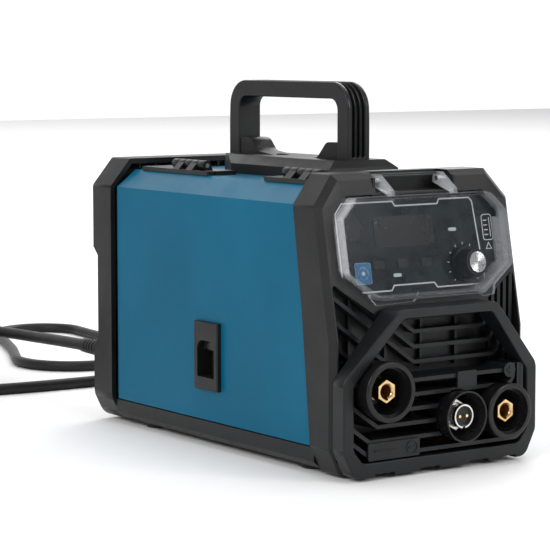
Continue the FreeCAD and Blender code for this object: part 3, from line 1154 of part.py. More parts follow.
def cord_tube(name, route):
    """Straight runs joined by tangent arcs, each as large as its two runs allow."""
    points = [V(*p) for p in route]
    edges = []
    length = 0.0
    last = points[0]
    for i in range(1, len(points) - 1):
        back = points[i - 1] - points[i]
        on = points[i + 1] - points[i]
        shorter = min(back.Length, on.Length)
        turn = math.pi - back.getAngle(on)
        radius = 0.45 * shorter / math.tan(turn / 2)
        print(name, "corner", i, "turn %.1f deg" % math.degrees(turn), "radius %.0f mm" % radius)
        reach = 0.45 * shorter
        back.normalize()
        on.normalize()
        start = points[i] + back * reach
        end = points[i] + on * reach
        bisector = back + on
        bisector.normalize()
        middle = points[i] + bisector * (radius / math.cos(turn / 2) - radius)
        edges.append(Part.LineSegment(last, start).toShape())
        edges.append(Part.Arc(start, middle, end).toShape())
        length += (start - last).Length + radius * turn
        last = end
    edges.append(Part.LineSegment(last, points[-1]).toShape())
    length += (points[-1] - last).Length
    direction = points[1] - points[0]
    section = Part.Wire(Part.makeCircle(CORD_DIAMETER / 2, points[0], direction))
    solid = Part.Wire(edges).makePipeShell([section], True, True)
    expected = math.pi * CORD_DIAMETER ** 2 / 4 * length
    print(name, "length %.0f mm" % length, "volume / (section x length) = %.4f" % (solid.Volume / expected))
    return solid


def make_cord():
    upper = [*UPPER_ROUTE, coil_point(COIL_ENTRY_DEG, COIL_TOP_LINE)]
    lower = [coil_point(COIL_EXIT_DEG, FLOOR_LINE)]
    lower += [(x, y, FLOOR_LINE) for x, y in LOWER_ROUTE]
    lower.append((PLUG_START[0], PLUG_START[1], FLOOR_LINE))
    return cord_tube("lead_upper", upper), cord_tube("lead_lower", lower)


def make_cord_coil():
    outer = COIL_RADIUS + CORD_DIAMETER / 2
    inner = COIL_RADIUS - CORD_DIAMETER / 2
    height = COIL_TOP_LINE + CORD_DIAMETER / 2
    return tube((COIL_CENTRE[0], COIL_CENTRE[1], 0), (0, 0, 1), outer, inner, height)


PLUG_RADIUS = 16.0


def make_mains_plug():
    """Round two-pin plug lying on the floor, its cable boot towards the lead."""
    x, y = PLUG_START
    z = PLUG_RADIUS
    boot = Part.makeCone(4.5, 8.0, 20.0, V(x, y, FLOOR_LINE), V(math.cos(0.42), 0, math.sin(0.42)))
    body = rod((x + 15.0, y, z), (1, 0, 0), PLUG_RADIUS, 20.0)
    body = body.makeFillet(3.0, [e for e in body.Edges if e.BoundBox.XMax < x + 16])
    pins = [rod((x + 35.0, y + side * 9.5, z), (1, 0, 0), 2.4, 19.0) for side in (-1, 1)]
    return joined([boot, body] + pins)


# ---------------------------------------------------------------- build
PARTS["front_bezel"] = make_front_bezel()
PARTS["bumper_ring"] = make_bumper_ring()
PARTS["front_grille"] = make_front_grille()
cups = [make_socket_cup(x, z, radius) for x, z, radius in CUPS.values()]
PARTS["socket_cups"] = loose([*cups, make_gun_cup()])
PARTS["brass_sockets"] = loose([make_brass_socket(x, z) for x, z, _ in CUPS.values()])
PARTS["socket_nuts"] = make_socket_nuts()
gun_names = ("gun_connector_shell", "gun_connector_nut", "gun_connector_insert", "gun_connector_pins")
for gun_name, gun_shape in zip(gun_names, make_gun_parts()):
    PARTS[gun_name] = gun_shape
PARTS["marking_plates"] = make_marking_plates()
PARTS["display_panel"] = make_display_panel()
PARTS["control_board"] = loose([make_control_board(), make_encoder()])
PARTS["knob"] = make_knob()
PARTS["knob_cap"] = make_knob_cap()
PARTS["clear_cover"] = make_clear_cover()
PARTS["rear_frame"] = make_rear_frame()
PARTS["rear_panel"] = make_rear_panel()
PARTS["power_switch"] = make_power_switch()
PARTS["power_rocker"] = make_power_rocker()
PARTS["cable_gland"] = loose([make_cable_gland(), make_gland_nut()])
PARTS["strain_relief"] = make_strain_relief()
PARTS["side_door"] = make_side_door()
PARTS["top_cover"] = make_top_cover()
PARTS["base_tray"] = make_base_tray()
PARTS["rubber_feet"] = make_rubber_feet()
PARTS["handle"] = make_handle()
PARTS["handle_base"] = make_handle_base()
PARTS["screws"] = loose([*make_handle_screws(), *make_rear_screws()])
PARTS["cover_hinge_leaves"] = loose([hinge_leaf(*hinge, False) for hinge in HINGES])
PARTS["door_hinge_leaves"] = loose([hinge_leaf(*hinge, True) for hinge in HINGES])
PARTS["hinge_pins"] = loose([*make_hinge_pins(), *make_cover_pins()])
PARTS["latch_frame"] = make_latch_frame()
PARTS["latch_slide"] = make_latch_slide()
PARTS["centre_partition"] = make_partition()
PARTS["feeder_frame"] = make_feeder_frame()
PARTS["arm_pin"] = make_arm_pin()
PARTS["pressure_arm"] = make_pressure_arm()
PARTS["roller_pin"] = make_roller_pin()
PARTS["pressure_roller"] = make_pressure_roller()
PARTS["drive_roll"] = make_drive_roll()
PARTS["feed_motor"] = make_feed_motor()
PARTS["tension_knob"] = make_tension_knob()
PARTS["tension_spring"] = make_tension_spring()
PARTS["wire_guides"] = make_wire_guides()
PARTS["welding_wire"] = make_welding_wire()
PARTS["spool_spindle"] = make_spool_spindle()
PARTS["spool_nut"] = make_spool_nut()
PARTS["wire_spool"] = make_wire_spool()
PARTS["spool_winding"] = make_spool_winding()
PARTS["fan_frame"] = make_fan_frame()
PARTS["fan_rotor"] = make_fan_rotor()
PARTS["power_board"] = make_power_board()
PARTS["heat_sink"] = make_heat_sink()
PARTS["main_transformer"] = make_transformer()
PARTS["output_inductor"] = make_inductor()
PARTS["lead_upper"], PARTS["lead_lower"] = make_cord()
PARTS["lead_coil"] = make_cord_coil()
PARTS["mains_plug"] = make_mains_plug()

os.makedirs("parts", exist_ok=True)
for part_name, part_shape in PARTS.items():
    part_shape.exportStep(os.path.join("parts", part_name + ".step"))
print(len(PARTS), "nodes")
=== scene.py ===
import bmesh
import bpy
import math
from mathutils import Matrix, Quaternion, Vector


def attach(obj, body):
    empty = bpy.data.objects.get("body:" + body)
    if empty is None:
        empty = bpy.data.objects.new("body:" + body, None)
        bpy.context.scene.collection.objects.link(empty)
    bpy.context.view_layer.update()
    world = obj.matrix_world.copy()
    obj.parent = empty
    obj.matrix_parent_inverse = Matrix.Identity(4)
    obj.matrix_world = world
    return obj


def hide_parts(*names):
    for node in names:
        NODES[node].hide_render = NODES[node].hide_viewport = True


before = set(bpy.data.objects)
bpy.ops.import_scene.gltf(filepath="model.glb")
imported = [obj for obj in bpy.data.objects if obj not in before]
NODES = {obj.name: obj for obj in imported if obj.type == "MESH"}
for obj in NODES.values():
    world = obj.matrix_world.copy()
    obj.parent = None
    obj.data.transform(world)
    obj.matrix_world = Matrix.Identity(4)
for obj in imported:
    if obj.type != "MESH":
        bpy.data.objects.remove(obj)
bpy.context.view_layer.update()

# A portable wire welder: looks only. All sizes are metres, in the frame of the CAD model:
# the front is at -Y, the door on the -X side, +Z is up.

MM = 0.001


# ---------------------------------------------------------------- materials
def new_material(name):
    made = bpy.data.materials.new(name)
    made.use_nodes = True
    tree = made.node_tree
    shader = tree.nodes["Principled BSDF"]
    coords = tree.nodes.new("ShaderNodeTexCoord")
    return made, tree, shader, coords.outputs["Object"]


def noise(tree, coords, scale, detail=3.0, rough=0.55, stretch=None):
    """Noise value from object coordinates; stretch scales each axis."""
    node = tree.nodes.new("ShaderNodeTexNoise")
    node.inputs["Scale"].default_value = scale
    node.inputs["Detail"].default_value = detail
    node.inputs["Roughness"].default_value = rough
    if stretch is None:
        tree.links.new(coords, node.inputs["Vector"])
    else:
        mapping = tree.nodes.new("ShaderNodeMapping")
        mapping.inputs["Scale"].default_value = stretch
        tree.links.new(coords, mapping.inputs["Vector"])
        tree.links.new(mapping.outputs["Vector"], node.inputs["Vector"])
    return node.outputs["Fac"]


def remap(tree, value, low, high, to_low, to_high):
    node = tree.nodes.new("ShaderNodeMapRange")
    for key, number in (("From Min", low), ("From Max", high), ("To Min", to_low), ("To Max", to_high)):
        node.inputs[key].default_value = number
    tree.links.new(value, node.inputs["Value"])
    return node.outputs["Result"]


def blend_colours(tree, factor, first, second):
    node = tree.nodes.new("ShaderNodeMix")
    node.data_type = "RGBA"
    for key, colour in (("A", first), ("B", second)):
        socket = [s for s in node.inputs if s.name == key and s.type == "RGBA"][0]
        if isinstance(colour, tuple):
            socket.default_value = (*colour, 1.0)
        else:
            tree.links.new(colour, socket)
    tree.links.new(factor, [s for s in node.inputs if s.name == "Factor" and s.type == "VALUE"][0])
    return [s for s in node.outputs if s.type == "RGBA"][0]


def bump(tree, shader, height, depth, strength=1.0, under=None):
    node = tree.nodes.new("ShaderNodeBump")
    node.inputs["Distance"].default_value = depth
    node.inputs["Strength"].default_value = strength
    tree.links.new(height, node.inputs["Height"])
    if under is not None:
        tree.links.new(under, node.inputs["Normal"])
    tree.links.new(node.outputs["Normal"], shader.inputs["Normal"])
    return node.outputs["Normal"]


def plastic(name, dark, light, rough, grain=0.0, grain_size=0.5 * MM, patch=0.04, sheen=0.32):
    """Moulded plastic: colour drifts softly, spark-eroded grain, roughness that varies with handling."""
    made, tree, shader, coords = new_material(name)
    drift = noise(tree, coords, 1.0 / patch, 4.0)
    fine = noise(tree, coords, 1.0 / grain_size, 2.0)
    tone = remap(tree, drift, 0.3, 0.7, 0.0, 1.0)
    base = blend_colours(tree, tone, dark, light)
    speck = remap(tree, fine, 0.35, 0.75, 0.0, 0.5)
    tree.links.new(blend_colours(tree, speck, base, light), shader.inputs["Base Color"])
    smudge = noise(tree, coords, 1.0 / (patch * 0.45), 5.0, 0.65)
    tree.links.new(remap(tree, smudge, 0.3, 0.7, rough - 0.06, rough + 0.07), shader.inputs["Roughness"])
    shader.inputs["Specular IOR Level"].default_value = sheen
    bump(tree, shader, fine, grain, 0.6)
    return made


def painted(name, dark, light, rough):
    """Baked satin paint on sheet steel: faint orange peel and slow drifts of tone."""
    made, tree, shader, coords = new_material(name)
    drift = noise(tree, coords, 9.0, 3.0)
    fine = noise(tree, coords, 2600.0, 2.0)
    tone = remap(tree, drift, 0.3, 0.7, 0.0, 1.0)
    base = blend_colours(tree, tone, dark, light)
    flake = remap(tree, fine, 0.45, 0.8, 0.0, 0.35)
    tree.links.new(blend_colours(tree, flake, base, light), shader.inputs["Base Color"])
    peel = noise(tree, coords, 420.0, 2.0)
    smudge = noise(tree, coords, 28.0, 6.0, 0.7)
    tree.links.new(remap(tree, smudge, 0.3, 0.7, rough - 0.05, rough + 0.06), shader.inputs["Roughness"])
    shader.inputs["Specular IOR Level"].default_value = 0.1
    bump(tree, shader, peel, 0.05 * MM, 0.35)
    return made


def metal(name, dark, light, rough, stretch=(1.0, 1.0, 1.0), size=0.4 * MM, depth=0.02 * MM):
    """Bare metal with machining marks drawn out along one direction."""
    made, tree, shader, coords = new_material(name)
    marks = noise(tree, coords, 1.0 / size, 3.0, 0.6, stretch)
    tarnish = noise(tree, coords, 160.0, 4.0)
    tone = remap(tree, tarnish, 0.35, 0.7, 0.0, 1.0)
    tree.links.new(blend_colours(tree, tone, dark, light), shader.inputs["Base Color"])
    shader.inputs["Metallic"].default_value = 1.0
    tree.links.new(remap(tree, marks, 0.3, 0.7, rough - 0.07, rough + 0.1), shader.inputs["Roughness"])
    bump(tree, shader, marks, depth, 0.5)
    return made


BLACK = plastic(
    "black_moulding", (0.0035, 0.0035, 0.0038), (0.0085, 0.0088, 0.0095), 0.42, 0.12 * MM, 0.45 * MM)
BLACK_RING = plastic(
    "ring_plastic", (0.0045, 0.0048, 0.0055), (0.011, 0.012, 0.014), 0.38, 0.10 * MM, 0.4 * MM)
GLOSS = plastic("gloss_black", (0.004, 0.004, 0.0045), (0.009, 0.009, 0.010), 0.3, 0.02 * MM, 0.8 * MM)
HANDLE = plastic("handle_satin", (0.006, 0.006, 0.007), (0.012, 0.0125, 0.014), 0.36, 0.06 * MM, 0.5 * MM)
RUBBER = plastic("cord_rubber", (0.006, 0.006, 0.0065), (0.013, 0.013, 0.014), 0.5, 0.05 * MM, 0.35 * MM)
BOARD = plastic("board_green", (0.008, 0.055, 0.022), (0.02, 0.10, 0.045), 0.35, 0.05 * MM, 1.2 * MM, 0.006)
BLUE = painted("blue_paint", (0.0002, 0.086, 0.160), (0.0008, 0.110, 0.198), 0.34)
BRASS = metal("brass_turned", (0.62, 0.40, 0.17), (0.83, 0.60, 0.33), 0.24)
GOLD = metal("pin_gilt", (0.83, 0.58, 0.20), (0.95, 0.74, 0.36), 0.2)
NICKEL = metal("nickel_satin", (0.58, 0.57, 0.54), (0.78, 0.77, 0.74), 0.24)
STEEL = metal("zinc_steel", (0.46, 0.47, 0.48), (0.66, 0.66, 0.66), 0.34, (1.0, 1.0, 6.0))
ALUMINIUM = metal("aluminium", (0.60, 0.61, 0.62), (0.78, 0.79, 0.80), 0.32, (1.0, 1.0, 8.0))
COPPER = metal(
    "copper_wire", (0.55, 0.25, 0.13), (0.80, 0.45, 0.27), 0.3, (18.0, 1.0, 1.0), 0.9 * MM, 0.2 * MM)


def panel_material():
    """Dark printed film under gloss: blotchy blue-grey with faint scuffs."""
    made, tree, shader, coords = new_material("panel_film")
    cloud = remap(tree, noise(tree, coords, 70.0, 5.0, 0.65), 0.38, 0.68, 0.0, 1.0)
    film = blend_colours(tree, cloud, (0.007, 0.011, 0.015), (0.026, 0.034, 0.042))
    tree.links.new(film, shader.inputs["Base Color"])
    scuff = noise(tree, coords, 60.0, 4.0, 0.5)
    tree.links.new(remap(tree, scuff, 0.3, 0.7, 0.07, 0.14), shader.inputs["Roughness"])
    bump(tree, shader, scuff, 0.004 * MM, 0.2)
    return made


COVER_NORMAL = (0.0, -0.981, 0.193)     # out of the cover's broad face
SWEEP_HEADING = (0.58, 0.81, 0.0)       # from the camera towards the white sweep


def clear_material():
    """Thin clear moulding: see-through on its broad face; its side walls and cut edges are painted pale, a
    painted highlight for the light they catch.
    """
    made, tree, shader, coords = new_material("clear_plastic")
    normal = coords.node.outputs["Normal"]
    facing = tree.nodes.new("ShaderNodeVectorMath")
    facing.operation = "DOT_PRODUCT"
    facing.inputs[1].default_value = COVER_NORMAL
    tree.links.new(normal, facing.inputs[0])
    broad = tree.nodes.new("ShaderNodeMath")
    broad.operation = "ABSOLUTE"
    tree.links.new(facing.outputs["Value"], broad.inputs[0])
    haze_and_painted_glow = noise(tree, coords, 120.0, 4.0)
    # Side walls painted pale: a painted highlight standing in for light caught in the clear edges; the noise
    # also varies roughness.
    edge_painted_highlight = blend_colours(tree, haze_and_painted_glow, (0.74, 0.78, 0.82), (0.92, 0.94, 0.96))
    faceness = remap(tree, broad.outputs["Value"], 0.55, 0.97, 0.0, 1.0)
    tree.links.new(blend_colours(tree, faceness, edge_painted_highlight, (0.02, 0.03, 0.035)), shader.inputs["Base Color"])
    tree.links.new(remap(tree, faceness, 0.0, 1.0, 0.30, 0.12), shader.inputs["Alpha"])
    tree.links.new(remap(tree, haze_and_painted_glow, 0.3, 0.7, 0.03, 0.09), shader.inputs["Roughness"])
    shader.inputs["Specular IOR Level"].default_value = 0.8
    return made


def turned_cap_material():
    """Aluminium faced on a lathe: its sheen follows the turned rings and stands in wedges."""
    made, tree, shader, coords = new_material("turned_cap")
    rings = noise(tree, coords, 900.0, 3.0)
    face = blend_colours(tree, rings, (0.50, 0.51, 0.52), (0.74, 0.75, 0.76))
    tree.links.new(face, shader.inputs["Base Color"])
    shader.inputs["Metallic"].default_value = 1.0
    tree.links.new(remap(tree, rings, 0.3, 0.7, 0.24, 0.34), shader.inputs["Roughness"])
    shader.inputs["Anisotropic"].default_value = 0.85
    around = tree.nodes.new("ShaderNodeTangent")
    around.direction_type = "RADIAL"
    around.axis = "Y"
    tree.links.new(around.outputs["Tangent"], shader.inputs["Tangent"])
    return made


def print_material(name, colour, rough):
    """Screen-printed ink: slightly uneven cover."""
    made, tree, shader, coords = new_material(name)
    thin = remap(tree, noise(tree, coords, 900.0, 3.0), 0.35, 0.65, 0.0, 1.0)
    faded = tuple(0.8 * c for c in colour)
    tree.links.new(blend_colours(tree, thin, faded, colour), shader.inputs["Base Color"])
    tree.links.new(remap(tree, thin, 0.0, 1.0, rough, rough + 0.1), shader.inputs["Roughness"])
    return made


PANEL = panel_material()
CLEAR = clear_material()
CAP = turned_cap_material()
INK = print_material("ink_white", (0.78, 0.80, 0.80), 0.45)
INK_BLUE = print_material("ink_blue", (0.010, 0.17, 0.40), 0.35)
LED = print_material("led_lens", (0.55, 0.72, 0.62), 0.3)

LOOKS = {
    "front_bezel": BLACK, "bumper_ring": BLACK_RING, "front_grille": BLACK_RING, "socket_cups": GLOSS,
    "brass_sockets": BRASS, "socket_nuts": STEEL, "gun_connector_shell": NICKEL, "gun_connector_nut": NICKEL,
    "gun_connector_insert": GLOSS, "gun_connector_pins": GOLD, "marking_plates": BLACK_RING,
    "display_panel": PANEL, "control_board": BOARD, "knob": GLOSS, "knob_cap": CAP, "clear_cover": CLEAR,
    "rear_frame": BLACK, "rear_panel": BLACK, "power_switch": GLOSS, "power_rocker": GLOSS,
    "cable_gland": GLOSS, "strain_relief": RUBBER, "side_door": BLUE, "top_cover": BLUE, "base_tray": BLACK,
    "rubber_feet": RUBBER, "handle": HANDLE, "handle_base": BLACK, "screws": STEEL,
    "cover_hinge_leaves": HANDLE, "door_hinge_leaves": HANDLE, "hinge_pins": STEEL, "latch_frame": BLACK,
    "latch_slide": GLOSS, "centre_partition": STEEL, "feeder_frame": GLOSS, "arm_pin": STEEL,
    "pressure_arm": GLOSS, "roller_pin": STEEL, "pressure_roller": STEEL, "drive_roll": STEEL,
    "feed_motor": STEEL, "tension_knob": GLOSS, "tension_spring": STEEL, "wire_guides": BRASS,
    "welding_wire": COPPER, "spool_spindle": GLOSS, "spool_nut": GLOSS, "wire_spool": GLOSS,
    "spool_winding": COPPER, "fan_frame": GLOSS, "fan_rotor": GLOSS, "power_board": BOARD,
    "heat_sink": ALUMINIUM, "main_transformer": STEEL, "output_inductor": COPPER, "mains_plug": RUBBER}

for node_name, look in LOOKS.items():
    mesh = NODES[node_name].data
    mesh.materials.clear()
    mesh.materials.append(look)

# Radii of the moulded and folded edges, as modifiers over the exact solids.
EDGE_RADII = {
    "front_bezel": 0.7, "bumper_ring": 1.4, "rear_frame": 0.8, "handle": 1.1, "handle_base": 0.9,
    "front_grille": 0.35, "side_door": 0.35, "top_cover": 0.35, "base_tray": 0.5, "latch_frame": 0.4,
    "latch_slide": 0.4, "clear_cover": 0.4, "marking_plates": 0.2, "brass_sockets": 0.25,
    "gun_connector_nut": 0.3, "cover_hinge_leaves": 0.25, "door_hinge_leaves": 0.25, "power_switch": 0.3,
    "power_rocker": 0.4, "rear_panel": 0.25, "mains_plug": 0.5, "cable_gland": 0.4, "feeder_frame": 0.4,
    "wire_spool": 0.3, "pressure_arm": 0.3}


def soften(piece, radius_mm):
    weld = piece.modifiers.new("weld", "WELD")
    weld.merge_threshold = 0.002 * MM
    edge = piece.modifiers.new("edge", "BEVEL")
    edge.width = radius_mm * MM
    edge.segments = 2
    edge.limit_method = "ANGLE"
    edge.angle_limit = math.radians(28)
    edge.use_clamp_overlap = True
    edge.harden_normals = True
    edge.miter_outer = "MITER_ARC"


for node_name, radius_mm in EDGE_RADII.items():
    soften(NODES[node_name], radius_mm)


# ---------------------------------------------------------------- pieces
def piece_from(name, mesh, look, body):
    made = bpy.data.objects.new(name, mesh)
    bpy.context.scene.collection.objects.link(made)
    made.data.materials.append(look)
    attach(made, body)
    return made


# The display panel's plane: y at height z, and its outward normal.
LEAN = 0.197
KINK_Z = 90 * MM
PANEL_Y = -130 * MM


def panel_point(x, z, out=0.0):
    """A point on the display panel, lifted out of it along its normal; x and z in millimetres."""
    size = math.hypot(1.0, LEAN)
    y = PANEL_Y + LEAN * (z * MM - KINK_Z)
    return Vector((x * MM, y - out / size, z * MM + out * LEAN / size))


PRINT_LIFT = 0.12 * MM


def add_prism(mesh, outline, low, high):
    """Closed outline of (x, z) on the panel, between two lifts."""
    back = [mesh.verts.new(panel_point(x, z, low)) for x, z in outline]
    front = [mesh.verts.new(panel_point(x, z, high)) for x, z in outline]
    count = len(outline)
    mesh.faces.new(front)
    mesh.faces.new(list(reversed(back)))
    for i in range(count):
        j = (i + 1) % count
        mesh.faces.new((back[i], back[j], front[j], front[i]))


def add_line(mesh, points, width, closed=False):
    """A printed line of even width with mitred corners."""
    count = len(points)
    left, right = [], []
    for i, (x, z) in enumerate(points):
        before = points[i - 1] if closed or i else None
        after = points[(i + 1) % count] if closed or i < count - 1 else None
        steps = []
        if before is not None:
            steps.append(Vector((x - before[0], z - before[1])).normalized())
        if after is not None:
            steps.append(Vector((after[0] - x, after[1] - z)).normalized())
        normals = [Vector((-s.y, s.x)) for s in steps]
        across = sum(normals, Vector((0, 0))).normalized()
        across *= width / 2 / max(0.3, across.dot(normals[0]))
        left.append((x + across.x, z + across.y))
        right.append((x - across.x, z - across.y))
    spans = count if closed else count - 1
    for i in range(spans):
        j = (i + 1) % count
        add_prism(mesh, [left[i], right[i], right[j], left[j]], 0.0, PRINT_LIFT)


def finish_mesh(mesh, name):
    bmesh.ops.recalc_face_normals(mesh, faces=mesh.faces)
    data = bpy.data.meshes.new(name)
    mesh.to_mesh(data)
    mesh.free()
    return data


def rounded_box(cx, cz, wide, high, radius, steps=4):
    points = []
    for corner in range(4):
        sx = 1 if corner in (0, 3) else -1
        sz = 1 if corner in (0, 1) else -1
        for i in range(steps + 1):
            angle = math.radians(90 * (corner + i / steps))
            points.append((
                cx + sx * (wide / 2 - radius) + radius * math.cos(angle),
                cz + sz * (high / 2 - radius) + radius * math.sin(angle)))
    return points


def around(centre, radius, angle_deg):
    """A point (x, z) at an angle about a centre."""
    angle = math.radians(angle_deg)
    return (centre[0] + radius * math.cos(angle), centre[1] + radius * math.sin(angle))


def circle(centre, radius, steps):
    return [around(centre, radius, 360 / steps * i) for i in range(steps)]


KNOB_CENTRE = (41, 132.3)
DIAL_MARKS = 11
TOUCH_CENTRE = (-45.5, 131)


def make_panel_print():
    """White border of the control field with its notches, a side column of marks, and the dial's marks."""
    ink = bmesh.new()
    border = [
        (-57, 176.5), (-15, 176.5), (-13, 173.5), (23, 173.5), (25, 176.5), (51, 176.5), (53.5, 174),
        (57.5, 118.8), (15.5, 118.8), (13, 122.0), (-21, 122.0), (-23.5, 118.8), (-57, 118.8), (-63, 127),
        (-63, 170)]
    add_line(ink, border, 0.9, closed=True)
    add_line(ink, rounded_box(64.6, 156, 8.6, 17, 2.0), 0.6, closed=True)
    add_line(ink, [(66.8, 149.5), (66.8, 162.5)], 0.7)
    for z in (151.0, 154.2, 157.4, 160.6):
        add_line(ink, [(61.6, z), (64.8, z)], 0.7)
    add_line(ink, [(61.8, 141.6), (64.2, 145.6), (66.6, 141.6)], 0.6, closed=True)
    for i in range(DIAL_MARKS):
        angle = 225 - 27 * i
        add_line(ink, [around(KNOB_CENTRE, radius, angle) for radius in (13.2, 14.8)], 0.5)
    piece_from("panel_print", finish_mesh(ink, "panel_print"), INK, "housing")


def make_touch_mark():
    """Blue field with a white ring and dot, in the panel's lower left corner."""
    field = bmesh.new()
    add_prism(field, rounded_box(*TOUCH_CENTRE, 13.5, 14, 1.6), 0.0, PRINT_LIFT)
    piece_from("touch_field", finish_mesh(field, "touch_field"), INK_BLUE, "housing")
    mark = bmesh.new()
    add_line(mark, rounded_box(*TOUCH_CENTRE, 13.0, 13.5, 1.5), 0.5, closed=True)
    add_line(mark, circle(TOUCH_CENTRE, 4.0, 24), 0.8, closed=True)
    add_prism(mark, circle(TOUCH_CENTRE, 1.3, 12), 0.0, 2 * PRINT_LIFT)
    piece_from("touch_ring", finish_mesh(mark, "touch_ring"), INK, "housing")


def make_indicators():
    """Two small pale lenses and a row of dark keys on the panel."""
    lenses = bmesh.new()
    add_prism(lenses, rounded_box(-17.5, 128.5, 6.5, 2.2, 0.8), 0.0, 0.4 * MM)
    add_prism(lenses, rounded_box(33.5, 156.0, 6.5, 2.2, 0.8), 0.0, 0.4 * MM)
    piece_from("status_lenses", finish_mesh(lenses, "status_lenses"), LED, "housing")
    window = bmesh.new()
    add_prism(window, rounded_box(-8, 157, 50, 20, 1.5), 0.0, 0.25 * MM)
    for x in (-32, -12, 8):
        add_prism(window, rounded_box(x, 136, 9, 5.5, 1.2), 0.0, 0.5 * MM)
    piece_from("display_window", finish_mesh(window, "display_window"), GLOSS, "housing")


make_panel_print()
make_touch_mark()
make_indicators()


# ---------------------------------------------------------------- mains lead
CORD_DIAMETER = 9 * MM
COIL_CENTRE = (-120.0, 352.0)
COIL_RADIUS = 45.0
COIL_ENTRY_DEG = 30.0
COIL_EXIT_DEG = -101.0
COIL_TURNS = 5.0 + (COIL_EXIT_DEG - COIL_ENTRY_DEG) / 360.0
COIL_POINTS = 16             # control points in a turn
FLOOR_LINE = 4.5
COIL_TOP = FLOOR_LINE + COIL_TURNS * 9.0

UPPER_ROUTE = [
    (-66.0, 200.0, 50.0), (-64.5, 236.0, 49.0), (-60.5, 280.0, 46.6), (-61.5, 322.0, 45.6),
    (-69.5, 354.0, 45.9)]
LOWER_ROUTE = [
    (-92.0, 301.0), (-53.0, 296.0), (-12.0, 294.0), (32.0, 294.0), (76.0, 298.0), (116.0, 316.0),
    (140.0, 350.0), (146.0, 392.0), (146.0, 434.0), (144.0, 476.0), (145.0, 518.0), (149.0, 560.0),
    (154.0, 598.0), (130.0, 624.0), (96.0, 624.0), (72.0, 600.0), (61.0, 566.0), (47.0, 529.0),
    (33.0, 494.0), (16.0, 460.0), (0.0, 424.0), (10.0, 389.5), (38.7, 367.7), (70.0, 367.7)]


def coil_points():
    points = []
    steps = round(COIL_TURNS * COIL_POINTS)
    pull = COIL_RADIUS / (0.5 + 0.5 * math.cos(math.pi / COIL_POINTS))
    for i in range(steps + 1):
        share = i / steps
        angle = math.radians(COIL_ENTRY_DEG + 360.0 * COIL_TURNS * share)
        points.append((
            COIL_CENTRE[0] + pull * math.cos(angle), COIL_CENTRE[1] + pull * math.sin(angle),
            COIL_TOP + (FLOOR_LINE - COIL_TOP) * share))
    return points


def make_lead():
    route = [*UPPER_ROUTE, *coil_points(), *[(x, y, FLOOR_LINE) for x, y in LOWER_ROUTE]]
    curve = bpy.data.curves.new("mains_lead", "CURVE")
    curve.dimensions = "3D"
    curve.bevel_depth = CORD_DIAMETER / 2
    curve.bevel_resolution = 6
    curve.resolution_u = 10
    curve.use_fill_caps = True
    spline = curve.splines.new("NURBS")
    spline.points.add(len(route) - 1)
    for point, (x, y, z) in zip(spline.points, route):
        point.co = (x * MM, y * MM, z * MM, 1.0)
    spline.order_u = 3
    spline.use_endpoint_u = True
    lead = bpy.data.objects.new("mains_lead", curve)
    bpy.context.scene.collection.objects.link(lead)
    lead.data.materials.append(RUBBER)
    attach(lead, "housing")
    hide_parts("lead_upper", "lead_lower", "lead_coil")
    return lead


def make_coil_tie():
    """Hook-and-loop band round the coil's turns."""
    inner, outer, top = 39.6 * MM, 50.4 * MM, (COIL_TOP + 5.4) * MM
    thick, half_wide = 1.2 * MM, 6 * MM
    tie = bmesh.new()
    loop = [(inner, 0.2 * MM), (inner, top - 3 * MM), (inner + 3 * MM, top), (outer - 3 * MM, top),
            (outer, top - 3 * MM), (outer, 0.2 * MM)]
    middle_r, middle_z = (inner + outer) / 2, top / 2
    angle = math.radians(160)
    along = Vector((math.cos(angle), math.sin(angle), 0))
    side = Vector((-math.sin(angle), math.cos(angle), 0))
    centre = Vector((COIL_CENTRE[0] * MM, COIL_CENTRE[1] * MM, 0))
    rows = []
    for grow in (0.0, thick):
        for edge in (-half_wide, half_wide):
            ring = []
            for r, z in loop:
                out_r = grow * (1 if r > middle_r else -1)
                out_z = grow * (1 if z > middle_z else 0)
                place = centre + along * (r + out_r) + side * edge + Vector((0, 0, z + out_z))
                ring.append(tie.verts.new(place))
            rows.append(ring)
    for a, b in ((0, 1), (1, 3), (3, 2), (2, 0)):
        for i in range(len(loop)):
            j = (i + 1) % len(loop)
            tie.faces.new((rows[a][i], rows[a][j], rows[b][j], rows[b][i]))
    return piece_from("coil_tie", finish_mesh(tie, "coil_tie"), RUBBER, "housing")


LEAD = make_lead()
TIE = make_coil_tie()


# ---------------------------------------------------------------- stage, light, camera
def make_floor():
    floor = bmesh.new()
    bmesh.ops.create_grid(floor, x_segments=1, y_segments=1, size=6.0)
    data = bpy.data.meshes.new("floor")
    floor.to_mesh(data)
    floor.free()
    made = bpy.data.objects.new("floor", data)
    bpy.context.scene.collection.objects.link(made)
    made.location = (0, 0, -0.05 * MM)
    look, tree, shader, coords = new_material("paper")
    fibre = noise(tree, coords, 40.0, 4.0)
    paper = blend_colours(tree, fibre, (0.90, 0.90, 0.90), (0.94, 0.94, 0.94))
    tree.links.new(paper, shader.inputs["Base Color"])
    shader.inputs["Roughness"].default_value = 0.8
    shader.inputs["Specular IOR Level"].default_value = 0.2
    data.materials.append(look)


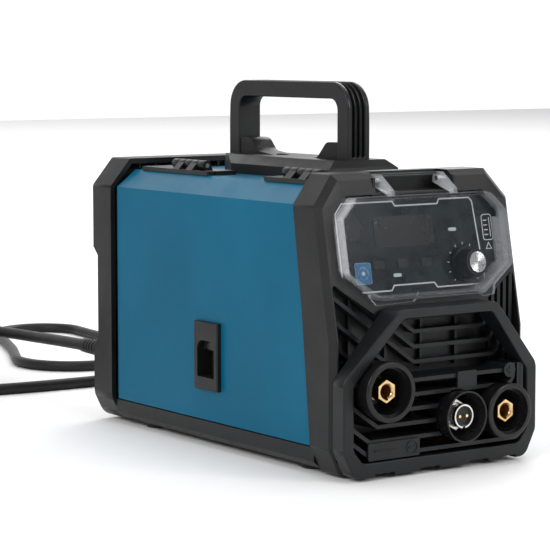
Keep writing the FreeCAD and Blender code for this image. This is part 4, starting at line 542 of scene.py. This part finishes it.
def area_light(name, place, target, size, power, size_y=None, roll_deg=0.0):
    light = bpy.data.lights.new(name, "AREA")
    light.energy = power
    light.size = size
    if size_y is not None:
        light.shape = "RECTANGLE"
        light.size_y = size_y
    made = bpy.data.objects.new(name, light)
    bpy.context.scene.collection.objects.link(made)
    made.location = place
    aim = (Vector(target) - Vector(place)).to_track_quat("-Z", "Y")
    made.rotation_euler = (aim @ Quaternion((0, 0, 1), math.radians(roll_deg))).to_euler()


make_floor()
area_light("key", (-1.9, -0.6, 1.3), (0, 0, 0.1), 1.2, 26, 1.0)
area_light("front_fill", (0.9, -2.0, 1.1), (0, -0.1, 0.12), 1.0, 13, 0.7)
area_light("top", (0.1, 0.1, 2.2), (0, 0, 0), 1.6, 16)
area_light("rim", (1.7, 1.2, 1.2), (0, 0, 0.1), 1.0, 12)
area_light("strip", (1.02, -1.76, 0.76), (0, -0.14, 0.15), 0.16, 3, 0.34, 24.0)
area_light("sweep_wash", (2.2, 3.2, 2.6), (2.6, 3.8, 0), 4.0, 90)

world = bpy.data.worlds.new("studio")
bpy.context.scene.world = world
world.use_nodes = True
# A white sweep stands behind the object and the room in front of it is darker.
sky = world.node_tree
sky.nodes["Background"].inputs["Color"].default_value = (1.0, 1.0, 1.0, 1.0)
heading = sky.nodes.new("ShaderNodeTexCoord")
toward_sweep = sky.nodes.new("ShaderNodeVectorMath")
toward_sweep.operation = "DOT_PRODUCT"
toward_sweep.inputs[1].default_value = SWEEP_HEADING
sky.links.new(heading.outputs["Generated"], toward_sweep.inputs[0])
strength = remap(sky, toward_sweep.outputs["Value"], 0.1, 0.85, 0.42, 1.05)
sky.links.new(strength, sky.nodes["Background"].inputs["Strength"])

CAMERA_LENS = 143.57
CAMERA_PLACE = Vector((-0.9173, -1.2437, 0.2789))
camera_data = bpy.data.cameras.new("camera")
camera_data.lens = CAMERA_LENS
camera_data.sensor_width = 36.0
camera_data.clip_start = 0.05
camera = bpy.data.objects.new("camera", camera_data)
bpy.context.scene.collection.objects.link(camera)
view_right = Vector((0.81376, -0.58120, 0.0))
view_up = Vector((0.06054, 0.08476, 0.99456))
view_back = Vector((-0.57804, -0.80933, 0.10416))
turn = Matrix((view_right, view_up, view_back)).transposed()
camera.matrix_world = Matrix.Translation(CAMERA_PLACE) @ turn.to_4x4()
bpy.context.scene.camera = camera
bpy.context.scene.view_settings.view_transform = "Standard"
